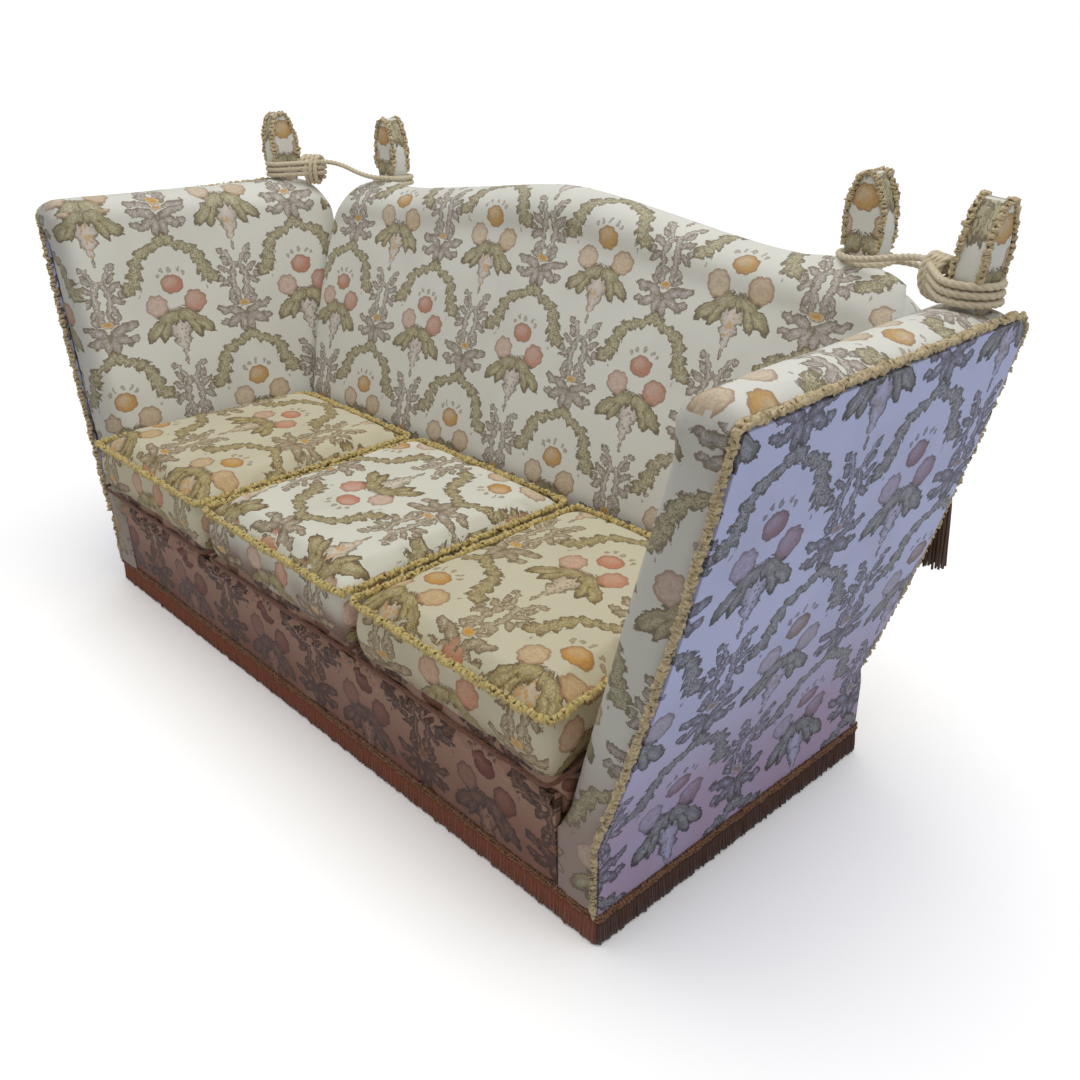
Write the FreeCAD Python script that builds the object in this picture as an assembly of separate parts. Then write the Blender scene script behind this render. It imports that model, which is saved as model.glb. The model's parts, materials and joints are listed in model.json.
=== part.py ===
import FreeCAD
import Part
import math
import os

# Knole sofa with drop arms. Millimetres, +Z up, the front faces -Y, the origin is on the floor under
# the middle of the sofa. Left and right are as seen from the front, so right is +X.

Vector = FreeCAD.Vector

# Overall sizes
base_width = 1800.0
base_depth = 760.0
front_y = -423.0
foot_height = 70.0
cover_bottom = 66.0

# Seat frame
rail_thickness = 32.0
front_cover = 14.0
side_cover = 20.0
rear_cover = 10.0
cross_rail_thickness = 28.0
cross_rail_height = 95.0
cross_rail_arch = 26.0
cross_rail_place = 300.0
corner_block_leg = 90.0
corner_block_height = 60.0
dust_cover_thickness = 1.5
dust_cover_margin = 12.0
web_width = 50.0
web_thickness = 3.0
web_count = 11
border_top = 262.0
cover_gap = 5.0

# Bun feet
foot_radius = 34.0
foot_neck_radius = 24.0
foot_sole_radius = 22.0
foot_inset = 58.0
foot_belly_share = 0.45

# Fringe round the base
fringe_floor_gap = 3.0
fringe_thickness = 5.0
fringe_flare = 4.0
fringe_header_height = 13.0
fringe_header_stand = 3.0

# Drop-arm hinges
hinge_height = 200.0
hinge_inset = 12.0
hinge_length = 75.0
hinge_end_distance = 130.0
hinge_count = 2
leaf_thickness = 2.5
leaf_width = 38.0
leaf_gap = 1.0
knuckle_radius = 6.0
knuckle_gap = 0.3
pin_radius = 3.0
pin_head_radius = 4.2
pin_head_height = 2.0
pin_running_clearance = 0.05

# Arms
arm_edge_height = 950.0
arm_spread = 194.0
arm_swell = 14.0
arm_foot_thickness = 89.0
arm_edge_thickness = 104.0
arm_crown = 36.0
arm_crown_fall = 22.0
arm_shoulder_fall = 28.0
arm_rim_fall = 2.0
arm_crown_offset = 6.0
arm_front_ease = 0.5
arm_rake = 38.0
arm_rear_setback = 16.0
arm_rear_fill = 75.0
arm_front_round = 26.0
arm_rear_round = 55.0
arm_pad_taper = 8.0
arm_corner = 16.0
round_steps = 4
arm_panel_thickness = 8.0
arm_panel_lift = 12.0
base_panel_fall = 10.0
arm_frame_thickness = 40.0
arm_post_depth = 45.0
arm_post_inset = 30.0
arm_rail_height = 32.0
arm_bottom_rail_width = 45.0
arm_top_rail_height = 40.0
arm_top_rail_width = 80.0
arm_pad_over_rail = 15.0
arm_pad_lift = 6.0
ruche_radius = 7.0
ruche_sides = 6

# Back
back_seat_thickness = 185.0
back_shoulder_height = 963.0
back_crown_rise = 60.0
back_end_fall = 16.0
camel_half_width = 620.0
back_half_width = 880.0
back_corner_drop = 80.0
back_lean = 144.0
back_rear_lean = 125.0
back_lean_top = 915.0
back_bend_height = 230.0
back_post_depth = 45.0
back_post_width = 44.0
back_post_place = 690.0
back_top_rail_height = 80.0
back_top_padding = 34.0
back_bottom_rail_height = 70.0
back_bottom_rail_level = 320.0
back_upright_width = 60.0
back_upright_place = 250.0
back_arm_gap = 5.0
back_rear_fall = 46.0
back_panel_margin = 20.0
back_knee_set = 3.0
back_belly_set = 0.165
back_belly_rise = 0.47
back_brow_set = 0.335
back_brow_fall = 0.14
back_end_steps = [(90.0, 4.0, 0.0), (30.0, 26.0, 4.0), (0.0, back_corner_drop, 16.0)]

# Seat platform and cushions
platform_top = 300.0
platform_roll = 18.0
platform_nose_set = 3.0
cushion_overhang = 50.0
cushion_height = 128.0
cushion_crown = 14.0
cushion_crown_run = 150.0
cushion_gap = 4.0
cushion_arm_gap = 9.0
cushion_rear_gap = 10.0
cushion_corner = 32.0
cushion_draw_in = 13.0
cushion_side_steps = 4
soft_gap = 0.3
cushion_ruche_radius = 6.0
seat_top = platform_top + cushion_height

# Finials
finial_height = 176.0
finial_base_width = 50.0
finial_width = 78.0
finial_widest = 92.0
finial_tip_width = 30.0
finial_tip_rise = 10.0
finial_thickness = 48.0
finial_edge_round = 4.0
finial_sink = 4.0
arm_finial_rear_inset = 77.0
arm_finial_inset = 74.0
arm_finial_lean = 6.0
back_finial_across = 735.0
back_finial_set = 20.0

# Cords
cord_diameter = 13.0
cord_sides = 6
cord_turn_gap = 1.2
arm_turn_gap = 24.5
arm_turns = 3
loop_length = 115.0
loop_end_radius = 26.0
back_turn_gap = 19.5
back_turns = 1.375
knot_turns = 3
knot_gap = 0.5
knot_turn_gap = 0.8
knot_share = 0.4
span_lead = 40.0
bend_reach = 0.45
gap_step = 1.0
tail_lead = 70.0
tail_steps = [(55, -6, -16), (46, -12, -34), (28, -12, -48), (11, -8, -56)]
tail_drop = 205.0
tassel_length = 205.0
tassel_head_radius = 17.0
tassel_neck_radius = 10.0
tassel_skirt_radius = 25.0
tassel_waist_radius = 18.0
tassel_waist_share = 0.4
tassel_head_height = 36.0

# Sizes worked out from the ones above
half_base = base_width / 2
rear_y = front_y + base_depth
seat_depth = base_depth - back_seat_thickness
frame_front = front_y + front_cover
frame_rear = rear_y - rear_cover
rail_outer = half_base - side_cover
rail_inner = rail_outer - rail_thickness
leaf_stack = leaf_thickness + leaf_gap / 2
rail_top = hinge_height - leaf_stack
arm_bottom = hinge_height + leaf_stack
hinge_x = half_base - hinge_inset
arm_rear_y = rear_y - arm_rear_setback
arm_slope = arm_rake / (arm_edge_height - hinge_height)
arm_foot_x = half_base
arm_edge_x = half_base + arm_spread
back_slope = back_lean / (back_lean_top - back_bend_height)
rear_slope = back_rear_lean / (back_lean_top - back_bend_height)
post_rear = frame_rear - rail_thickness
post_front = post_rear - back_post_depth
web_top = rail_top + web_thickness
arm_finial_y = arm_rear_y - arm_finial_rear_inset
cord_radius = cord_diameter / 2
arm_turn_radius = finial_thickness / 2 + cord_radius + arm_turn_gap
back_turn_radius = finial_thickness / 2 + cord_radius + back_turn_gap
cord_pitch = cord_diameter + cord_turn_gap
cord_lift = finial_sink + cord_radius + soft_gap
knot_radius = cord_diameter + knot_gap
knot_pitch = cord_diameter + knot_turn_gap
bevel = 1 - math.sqrt(0.5)
above_back = back_shoulder_height + 2 * back_crown_rise
os.makedirs("parts", exist_ok=True)
written = []


def save(name, shape):
    """Write one node, and stop where it isn't sound."""
    if not shape.isValid() or shape.Volume <= 0:
        raise ValueError(name + " is not a sound solid")
    shape.exportStep("parts/" + name + ".step")
    written.append(name)
    print(name, len(shape.Solids), "solid(s)", round(shape.Volume / 1000), "cm3")


def box(x0, x1, y0, y1, z0, z1):
    return Part.makeBox(x1 - x0, y1 - y0, z1 - z0, Vector(x0, y0, z0))


def line(a, b):
    return Part.LineSegment(a, b).toShape()


def arc(a, b, c):
    return Part.Arc(a, b, c).toShape()


def face(edges):
    return Part.Face(Part.Wire(edges))


def prism(points, direction):
    outline = Part.makePolygon(points + points[:1])
    return Part.Face(outline).extrude(direction)


def loft(wires, ruled=False):
    return Part.makeLoft(wires, True, ruled)


def left_of(shape):
    """The left-hand copy of a right-hand piece."""
    return shape.mirror(Vector(0, 0, 0), Vector(1, 0, 0))


def save_pair(name, shape):
    save("right_" + name, shape)
    save("left_" + name, left_of(shape))


# The arm's own lines. Its outer face swells a little as it leans out, its inner face is straight and
# fuller towards the rear, and both fall back with height.
def arm_point(x, y, z):
    return Vector(x, y + (z - hinge_height) * arm_slope, z)


def arm_outer_x(z):
    share = (z - hinge_height) / (arm_edge_height - hinge_height)
    return arm_foot_x + arm_spread * share + arm_swell * 4 * share * (1 - share)


def arm_inner_x(z, y):
    share = (z - hinge_height) / (arm_edge_height - hinge_height)
    foot = arm_foot_x - arm_foot_thickness
    edge = arm_edge_x - arm_edge_thickness
    return foot + (edge - foot) * share - arm_rear_fill * (y - front_y) / (arm_rear_y - front_y)


def outer_arc(inset, y, z0, z1):
    """A stretch of the arm's outer line, moved in by a share of its thickness."""
    middle = (z0 + z1) / 2
    return arc(*[arm_point(arm_outer_x(z) - inset, y, z) for z in (z0, middle, z1)])


def arm_board(inset, thickness, y0, y1, z0, z1):
    """A board in the arm that follows its outer line between two heights."""
    outer = outer_arc(inset, y0, z0, z1)
    inner = outer_arc(inset + thickness, y0, z0, z1)
    outline = [outer, inner]
    for z in (z0, z1):
        near = arm_point(arm_outer_x(z) - inset, y0, z)
        far = arm_point(arm_outer_x(z) - inset - thickness, y0, z)
        outline.append(line(near, far))
    return face(Part.__sortEdges__(outline)).extrude(Vector(0, y1 - y0, 0))


def between_arms(gap, y0, y1, z0, z1):
    """The space between the two arms' inner faces, less a gap at each side."""
    wires = []
    for z in (z0, z1):
        near = arm_inner_x(z, y0) - gap
        far = arm_inner_x(z, y1) - gap
        corners = [(-near, y0), (near, y0), (far, y1), (-far, y1), (-near, y0)]
        wires.append(Part.makePolygon([Vector(x, y, z) for x, y in corners]))
    return loft(wires, True)


# Seat frame
def seat_frame():
    front_rail_rear = frame_front + rail_thickness
    front_rail = box(-rail_inner, rail_inner, frame_front, front_rail_rear, foot_height, rail_top)
    rear_rail = box(-rail_inner, rail_inner, post_rear, frame_rear, foot_height, rail_top)
    save("front_rail", front_rail)
    save("rear_rail", rear_rail)
    save_pair("side_rail", box(rail_inner, rail_outer, frame_front, frame_rear, foot_height, rail_top))
    save("seat_cross_rails", Part.makeCompound([cross_rail(-cross_rail_place), cross_rail(cross_rail_place)]))
    save("corner_blocks", Part.makeCompound(corner_blocks()))


def cross_rail(x):
    """A brace from front rail to rear rail, arched underneath."""
    start = frame_front + rail_thickness
    top = foot_height + cross_rail_height
    side = x - cross_rail_thickness / 2
    middle = (start + post_rear) / 2
    outline = [
        line(Vector(side, start, top), Vector(side, post_rear, top)),
        line(Vector(side, post_rear, top), Vector(side, post_rear, foot_height)),
        arc(
            Vector(side, post_rear, foot_height),
            Vector(side, middle, foot_height + cross_rail_arch),
            Vector(side, start, foot_height),
        ),
        line(Vector(side, start, foot_height), Vector(side, start, top)),
    ]
    return face(outline).extrude(Vector(cross_rail_thickness, 0, 0))


def corner_blocks():
    blocks = []
    for side in (-1, 1):
        for y, way in ((frame_front + rail_thickness, 1), (post_rear, -1)):
            corner = Vector(side * rail_inner, y, foot_height)
            along = corner + Vector(-side * corner_block_leg, 0, 0)
            inward = corner + Vector(0, way * corner_block_leg, 0)
            blocks.append(prism([corner, along, inward], Vector(0, 0, corner_block_height)))
    return blocks


def foot_places():
    across = rail_inner - foot_inset + rail_thickness
    front = frame_front + foot_inset - rail_thickness / 2
    rear = frame_rear - foot_inset + rail_thickness / 2
    return [(x, y) for x in (-across, 0, across) for y in (front, rear)]


def bun_foot(x, y):
    """A turned bun foot: a small sole, a round belly and a neck under the rail."""
    belly = foot_height * foot_belly_share
    neck_height = foot_height - (foot_radius - foot_neck_radius)
    outline = [
        line(Vector(0, 0, 0), Vector(foot_sole_radius, 0, 0)),
        arc(
            Vector(foot_sole_radius, 0, 0),
            Vector(foot_radius, 0, belly),
            Vector(foot_neck_radius, 0, neck_height),
        ),
        line(Vector(foot_neck_radius, 0, neck_height), Vector(foot_neck_radius, 0, foot_height)),
        line(Vector(foot_neck_radius, 0, foot_height), Vector(0, 0, foot_height)),
        line(Vector(0, 0, foot_height), Vector(0, 0, 0)),
    ]
    foot = face(outline).revolve(Vector(0, 0, 0), Vector(0, 0, 1), 360)
    foot.translate(Vector(x, y, 0))
    return foot


def seat_support():
    save("bun_feet", Part.makeCompound([bun_foot(x, y) for x, y in foot_places()]))
    cloth = box(
        -rail_outer + dust_cover_margin,
        rail_outer - dust_cover_margin,
        frame_front + dust_cover_margin,
        frame_rear - dust_cover_margin,
        foot_height - dust_cover_thickness,
        foot_height,
    )
    cut = foot_neck_radius + soft_gap
    for x, y in foot_places():
        cloth = cloth.cut(box(x - cut, x + cut, y - cut, y + cut, 0, foot_height))
    save("dust_cover", cloth)
    straps = []
    spread = 2 * (rail_inner - web_width)
    for number in range(web_count):
        x = spread * (number / (web_count - 1) - 0.5)
        straps.append(box(x - web_width / 2, x + web_width / 2, frame_front, post_front, rail_top, web_top))
    save("seat_webbing", Part.makeCompound(straps))
    save("seat_platform", platform())


def platform():
    """The sprung and padded deck, with a rolled front edge above the border."""
    back = front_y + seat_depth - cushion_rear_gap
    low = front_y + front_cover + soft_gap
    nose = front_y + platform_nose_set
    bottom = web_top + soft_gap
    lip = border_top + soft_gap
    outline = [
        line(Vector(0, back, bottom), Vector(0, low, bottom)),
        line(Vector(0, low, bottom), Vector(0, low, lip)),
        line(Vector(0, low, lip), Vector(0, nose, lip)),
        line(Vector(0, nose, lip), Vector(0, nose, platform_top - platform_roll)),
        arc(
            Vector(0, nose, platform_top - platform_roll),
            Vector(0, nose + platform_roll * bevel, platform_top - platform_roll * bevel),
            Vector(0, nose + platform_roll, platform_top),
        ),
        line(Vector(0, nose + platform_roll, platform_top), Vector(0, back, platform_top)),
        line(Vector(0, back, platform_top), Vector(0, back, bottom)),
    ]
    deck = face(outline).extrude(Vector(base_width, 0, 0))
    deck.translate(Vector(-half_base, 0, 0))
    return deck.common(between_arms(cover_gap, front_y, arm_rear_y, hinge_height, arm_edge_height))


# Covers round the base
def base_covers():
    corner = arm_foot_x - arm_foot_thickness - cover_gap
    side_top = hinge_height - base_panel_fall
    save("front_border", box(-corner, corner, front_y, frame_front, cover_bottom, border_top))
    side = box(rail_outer, half_base, front_y, rear_y, cover_bottom, side_top)
    turn = box(corner, rail_outer, front_y, frame_front, cover_bottom, side_top)
    save_pair("base_panel", side.fuse(turn).removeSplitter())
    save("base_fringe", Part.makeCompound(fringes()))


def fringe_strip(length):
    """A hanging fringe along X: a braid header over a skirt that flares out to the floor."""
    top = cover_bottom
    header = top - fringe_header_height
    foot = fringe_floor_gap
    points = [
        (fringe_thickness, top),
        (-fringe_header_stand, top),
        (-fringe_header_stand, header),
        (0, header),
        (-fringe_flare, foot),
        (fringe_thickness - fringe_flare, foot),
        (fringe_thickness, header),
    ]
    strip = prism([Vector(0, y, z) for y, z in points], Vector(length, 0, 0))
    strip.translate(Vector(-length / 2, 0, 0))
    return strip


def fringes():
    strips = []
    side_length = base_depth - 2 * fringe_thickness - 2 * fringe_flare
    for turn, distance, length in (
        (0, -front_y, base_width),
        (90, half_base, side_length),
        (180, rear_y, base_width),
        (270, half_base, side_length),
    ):
        strip = fringe_strip(length)
        strip.translate(Vector(0, -distance, 0))
        strip.rotate(Vector(0, 0, 0), Vector(0, 0, 1), turn)
        if turn in (90, 270):
            strip.translate(Vector(0, (front_y + rear_y) / 2, 0))
        strips.append(strip)
    return strips


# Back
def camel_height(x):
    """Height of the back's top line: two equal arcs from the shoulder up to the crown."""
    distance = abs(x)
    half = camel_half_width / 2
    radius = (half**2 + (back_crown_rise / 2) ** 2) / back_crown_rise
    if distance <= half:
        return back_shoulder_height + back_crown_rise - radius + math.sqrt(radius**2 - distance**2)
    if distance <= camel_half_width:
        from_shoulder = camel_half_width - distance
        return back_shoulder_height + radius - math.sqrt(radius**2 - from_shoulder**2)
    share = (distance - camel_half_width) / (back_half_width - camel_half_width)
    return back_shoulder_height - back_end_fall * share


def back_point(x, y, z, slope=back_slope):
    return Vector(x, y + max(0.0, z - back_bend_height) * slope, z)


def camel_plate(half_width, bottom, below_top, y, thickness, slope):
    """A board with the camel top, leaning back with the posts."""
    half = camel_half_width / 2
    stations = [-half_width, -camel_half_width, -half, half, camel_half_width, half_width]

    def top(x):
        return back_point(x, y, camel_height(x) - below_top, slope)

    outline = [line(top(stations[0]), top(stations[1]))]
    for start, end in zip(stations[1:4], stations[2:5]):
        outline.append(arc(top(start), top((start + end) / 2), top(end)))
    outline.append(line(top(stations[4]), top(stations[5])))
    low_right = back_point(half_width, y, bottom, slope)
    low_left = back_point(-half_width, y, bottom, slope)
    outline.append(line(top(half_width), low_right))
    outline.append(line(low_right, low_left))
    outline.append(line(low_left, top(-half_width)))
    return face(outline).extrude(Vector(0, thickness, 0))


def back_frame():
    rail_bottom = camel_height(back_half_width) - back_top_padding - back_top_rail_height
    post_half = back_post_width / 2
    post = prism(
        [
            back_point(back_post_place - post_half, y, z)
            for y, z in (
                (post_front, foot_height),
                (post_rear, foot_height),
                (post_rear, back_bend_height),
                (post_rear, rail_bottom),
                (post_front, rail_bottom),
                (post_front, back_bend_height),
            )
        ],
        Vector(back_post_width, 0, 0),
    )
    save_pair("back_post", post)
    rail_half = arm_inner_x(rail_bottom, arm_rear_y) - back_arm_gap - back_corner_drop / 2
    top_rail = camel_plate(rail_half, rail_bottom, back_top_padding, post_front, back_post_depth, back_slope)
    save("back_top_rail", top_rail)
    reach = back_post_place - post_half
    low = back_bottom_rail_level
    high = low + back_bottom_rail_height
    save("back_bottom_rail", leaning_board(-reach, reach, low, high))
    uprights = []
    for side in (-1, 1):
        x = side * back_upright_place
        half = back_upright_width / 2
        uprights.append(leaning_board(x - half, x + half, high, rail_bottom))
    save("back_uprights", Part.makeCompound(uprights))
    return top_rail


def leaning_board(x0, x1, z0, z1):
    corners = [
        back_point(x0, post_front, z0),
        back_point(x1, post_front, z0),
        back_point(x1, post_front, z1),
        back_point(x0, post_front, z1),
    ]
    return prism(corners, Vector(0, back_post_depth, 0))


def back_section(x, drop, draw_in):
    """One upright cut through the back's padding, from the seat over the top to the rear cover."""
    seat_face = front_y + seat_depth + draw_in
    top = camel_height(x) - drop
    rear_foot = frame_rear - soft_gap
    knee = seat_top
    face_rise = top - knee
    brow = Vector(x, seat_face + face_rise * back_brow_set, top - face_rise * back_brow_fall)
    belly = Vector(x, seat_face + face_rise * back_belly_set, knee + face_rise * back_belly_rise)
    rear_level = top - back_rear_fall
    rear_edge = Vector(x, rear_foot + (rear_level - back_bend_height) * rear_slope, rear_level)
    crown = Vector(x, (brow.y + rear_edge.y) / 2, top)
    foot_front = Vector(x, seat_face, web_top + soft_gap)
    foot_rear = Vector(x, rear_foot, web_top + soft_gap)
    knee_point = Vector(x, seat_face + back_knee_set, knee)
    return Part.Wire(
        [
            line(foot_front, knee_point),
            arc(knee_point, belly, brow),
            arc(brow, crown, rear_edge),
            line(rear_edge, foot_rear),
            line(foot_rear, foot_front),
        ]
    )


def back_pad(finials):
    """The padding of the back, cut out behind for the frame and at the ends for the arms."""
    half = camel_half_width / 2
    stations = [(0, 0, 0), (half, 0, 0), (camel_half_width, 0, 0)]
    stations += [(back_half_width - inset, drop, draw_in) for inset, drop, draw_in in back_end_steps]
    sections = [back_section(-x, drop, draw_in) for x, drop, draw_in in reversed(stations[1:])]
    sections += [back_section(x, drop, draw_in) for x, drop, draw_in in stations]
    pad = loft(sections)
    frame_face = post_front - soft_gap
    rail_line = back_top_padding - soft_gap
    behind = camel_plate(base_width, back_bend_height, rail_line, frame_face, base_depth, back_slope)
    below = box(-base_width, base_width, frame_face, rear_y, 0, back_bend_height)
    pad = pad.cut(behind).cut(below)
    pad = pad.common(between_arms(back_arm_gap, front_y, rear_y + back_rear_lean, hinge_height, above_back))
    for finial in finials:
        pad = pad.cut(finial)
    return pad


def back_outer_panel():
    """The cover over the back's rear, upright on the base and leaning above it."""
    lower = box(-rail_outer, rail_outer, frame_rear, rear_y, cover_bottom, back_bend_height)
    half = back_half_width - back_panel_margin
    upper = camel_plate(half, back_bend_height, back_rear_fall, frame_rear, rear_cover, rear_slope)
    return lower.fuse(upper)


# Arms
def arm_crown_at(y):
    """How far the top roll stands above the arm's rim; it flattens towards the rear."""
    return arm_crown - arm_crown_fall * (y - front_y) / (arm_rear_y - front_y)


def arm_section(y, draw_in, drop):
    """One cut across the arm's padding, from its foot up the inside and over the top roll."""
    foot = arm_bottom + arm_pad_lift
    shoulder = arm_edge_height - arm_shoulder_fall - drop
    rim = arm_edge_height - arm_rim_fall - drop
    inset = arm_panel_thickness + soft_gap
    rim_point = arm_point(arm_outer_x(rim) - inset, y, rim)
    inside_foot = arm_point(arm_inner_x(foot, y) + draw_in, y, foot)
    inside_top = arm_point(arm_inner_x(shoulder, y) + draw_in, y, shoulder)
    crown_x = (inside_top.x + rim_point.x) / 2 - arm_crown_offset
    crown = arm_point(crown_x, y, rim + arm_crown_at(y) - draw_in * arm_front_ease)
    outside_foot = arm_point(arm_outer_x(foot) - inset, y, foot)
    return Part.Wire(
        [
            line(inside_foot, inside_top),
            arc(inside_top, crown, rim_point),
            outer_arc(inset, y, foot, rim),
            line(outside_foot, inside_foot),
        ]
    )


def arm_pad(finial):
    """The arm's padding, rounded over its front and rear edges and hollowed for the posts and rails."""
    depth = arm_rear_y - front_y
    stations = []
    for step in range(round_steps + 1):
        angle = math.pi / 2 * step / round_steps
        stations.append((arm_front_round * (1 - math.cos(angle)), arm_front_round * (1 - math.sin(angle)), 0))
    for step in range(round_steps + 1):
        angle = math.pi / 2 * step / round_steps
        y = depth - arm_rear_round * (1 - math.sin(angle))
        stations.append((y, arm_pad_taper * step / round_steps, arm_rear_round * (1 - math.cos(angle))))
    sections = [arm_section(front_y + y, draw_in, drop) for y, draw_in, drop in stations]
    pad = loft(sections, True)
    rail_line = arm_edge_height - arm_pad_over_rail
    rail_under = rail_line - arm_top_rail_height - soft_gap
    start = front_y + arm_post_inset
    behind_post = arm_panel_thickness + arm_frame_thickness + 2 * soft_gap
    behind_rail = arm_panel_thickness + arm_top_rail_width + 2 * soft_gap
    core = arm_board(-base_depth, base_depth + behind_post, start, rear_y, arm_bottom, rail_line)
    groove = arm_board(0, behind_rail, start, arm_rear_y - arm_post_inset + soft_gap, rail_under, rail_line)
    foot_inside = rail_outer - arm_bottom_rail_width - soft_gap
    tunnel_top = arm_bottom + arm_rail_height + soft_gap
    tunnel = box(foot_inside, base_width, start, rear_y, arm_bottom, tunnel_top)
    return pad.cut(core).cut(groove).cut(tunnel).cut(finial)


def arm_frame():
    y0 = front_y + arm_post_inset
    y1 = arm_rear_y - arm_post_inset
    rail_line = arm_edge_height - arm_pad_over_rail
    rail_under = rail_line - arm_top_rail_height
    post_foot = arm_bottom + arm_rail_height
    inset = arm_panel_thickness + soft_gap
    bottom_rail = box(rail_outer - arm_bottom_rail_width, rail_outer, y0, y1, arm_bottom, post_foot)
    save_pair("arm_bottom_rail", bottom_rail)
    front_post = arm_board(inset, arm_frame_thickness, y0, y0 + arm_post_depth, post_foot, rail_under)
    rear_post = arm_board(inset, arm_frame_thickness, y1 - arm_post_depth, y1, post_foot, rail_under)
    save_pair("arm_front_post", front_post)
    save_pair("arm_rear_post", rear_post)
    save_pair("arm_top_rail", arm_board(inset, arm_top_rail_width, y0, y1, rail_under, rail_line))
    panel_foot = hinge_height + arm_panel_lift
    spare = arm_corner
    panel = arm_board(
        0,
        arm_panel_thickness,
        front_y - arm_rake,
        arm_rear_y + arm_rake,
        panel_foot - spare,
        arm_edge_height + spare,
    )
    save_pair("arm_outer_panel", panel.common(arm_side_outline(panel_foot)))


def arm_side_outline(foot):
    """The arm's outline seen from the side, round at its top corners, as a block to cut with."""
    rim = arm_edge_height
    front_turn = arm_corner
    rear_turn = arm_rear_round

    def at(y, z):
        return arm_point(0, y, z)

    front_low = at(front_y, rim - front_turn)
    front_high = at(front_y + front_turn, rim)
    rear_high = at(arm_rear_y - rear_turn, rim)
    rear_low = at(arm_rear_y, rim - rear_turn)
    outline = [
        line(at(front_y, foot), front_low),
        arc(front_low, at(front_y + front_turn * bevel, rim - front_turn * bevel), front_high),
        line(front_high, rear_high),
        arc(rear_high, at(arm_rear_y - rear_turn * bevel, rim - rear_turn * bevel), rear_low),
        line(rear_low, at(arm_rear_y, foot)),
        line(at(arm_rear_y, foot), at(front_y, foot)),
    ]
    return face(outline).extrude(Vector(base_width, 0, 0))


def arm_ruche():
    """The looped trim sewn round the arm's outer edge: up the front, along the top and down the rear."""
    stand = ruche_radius + soft_gap
    foot = hinge_height + arm_panel_lift
    rim = arm_edge_height + stand
    front = front_y - stand
    rear = arm_rear_y + stand
    front_turn = arm_corner + stand
    rear_turn = arm_rear_round + stand

    def edge(y, z):
        return arm_point(arm_outer_x(min(z, arm_edge_height)) - ruche_radius, y, z)

    front_top = rim - front_turn
    rear_top = rim - rear_turn
    path = [
        arc(edge(front, foot), edge(front, (foot + front_top) / 2), edge(front, front_top)),
        arc(
            edge(front, front_top),
            edge(front + front_turn * bevel, rim - front_turn * bevel),
            edge(front + front_turn, rim),
        ),
        line(edge(front + front_turn, rim), edge(rear - rear_turn, rim)),
        arc(
            edge(rear - rear_turn, rim),
            edge(rear - rear_turn * bevel, rim - rear_turn * bevel),
            edge(rear, rear_top),
        ),
        arc(edge(rear, rear_top), edge(rear, (foot + rear_top) / 2), edge(rear, foot)),
    ]
    return tube(path, ruche_radius, ruche_sides)


def tube(path, radius, sides):
    """A tube of a many-sided section along a chain of edges."""
    start, heading = start_of(path)
    turn = FreeCAD.Rotation(Vector(0, 0, 1), heading)
    corners = []
    for number in range(sides + 1):
        angle = 2 * math.pi * number / sides
        spoke = Vector(radius * math.cos(angle), radius * math.sin(angle), 0)
        corners.append(start + turn.multVec(spoke))
    return Part.Wire(path).makePipeShell([Part.makePolygon(corners)], True, False)


# Hinges
def hinge_centres():
    start = front_y + hinge_end_distance
    end = arm_rear_y - hinge_end_distance
    return [start + (end - start) * number / (hinge_count - 1) for number in range(hinge_count)]


def knuckle(y0, y1, bore):
    place = Vector(hinge_x, y0, hinge_height)
    along = Vector(0, 1, 0)
    barrel = Part.makeCylinder(knuckle_radius, y1 - y0, place, along)
    return barrel.cut(Part.makeCylinder(bore, y1 - y0, place, along))


def hinge_leaf(centre, knuckle_spans, z0, bore):
    """A flat leaf whose tongues reach out to its own knuckles only."""
    half = hinge_length / 2
    plate_edge = hinge_x - knuckle_radius - knuckle_gap
    leaf = box(rail_outer - leaf_width, plate_edge, centre - half, centre + half, z0, z0 + leaf_thickness)
    for y0, y1 in knuckle_spans:
        tongue_end = hinge_x - (pin_radius + knuckle_radius) / 2
        tongue = box(plate_edge, tongue_end, y0, y1, z0, z0 + leaf_thickness)
        leaf = leaf.fuse(tongue).fuse(knuckle(y0, y1, bore))
    return leaf.removeSplitter()


def hinges():
    third = hinge_length / 3
    fixed = []
    moving = []
    for centre in hinge_centres():
        half = hinge_length / 2
        outer_spans = [
            (centre - half, centre - third / 2 - knuckle_gap),
            (centre + third / 2 + knuckle_gap, centre + half),
        ]
        fixed.append(hinge_leaf(centre, outer_spans, hinge_height - leaf_stack, pin_radius))
        moving.append(
            hinge_leaf(
                centre,
                [(centre - third / 2, centre + third / 2)],
                hinge_height + leaf_gap / 2,
                pin_radius + pin_running_clearance,
            )
        )
        fixed.append(hinge_pin(centre - half, hinge_length))
    save_pair("hinge_base_leaves", Part.makeCompound(fixed))
    save_pair("hinge_arm_leaves", Part.makeCompound(moving))


def hinge_pin(y, length):
    along = Vector(0, 1, 0)
    shank = Part.makeCylinder(pin_radius, length, Vector(hinge_x, y, hinge_height), along)
    head_place = Vector(hinge_x, y - pin_head_height, hinge_height)
    head = Part.makeCylinder(pin_head_radius, pin_head_height, head_place, along)
    return shank.fuse(head).removeSplitter()


# Finials: upholstered ears with lens-shaped faces, standing on the frame inside the padding
def finial(seat):
    """An ear in the XZ plane, with its thickness along Y and its stem going down to its seat."""
    half = finial_thickness / 2
    inner = half - finial_edge_round
    layers = [(-half, finial_edge_round), (-inner, 0), (inner, 0), (half, finial_edge_round)]
    return loft([finial_outline(y, inset, seat) for y, inset in layers], True)


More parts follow.
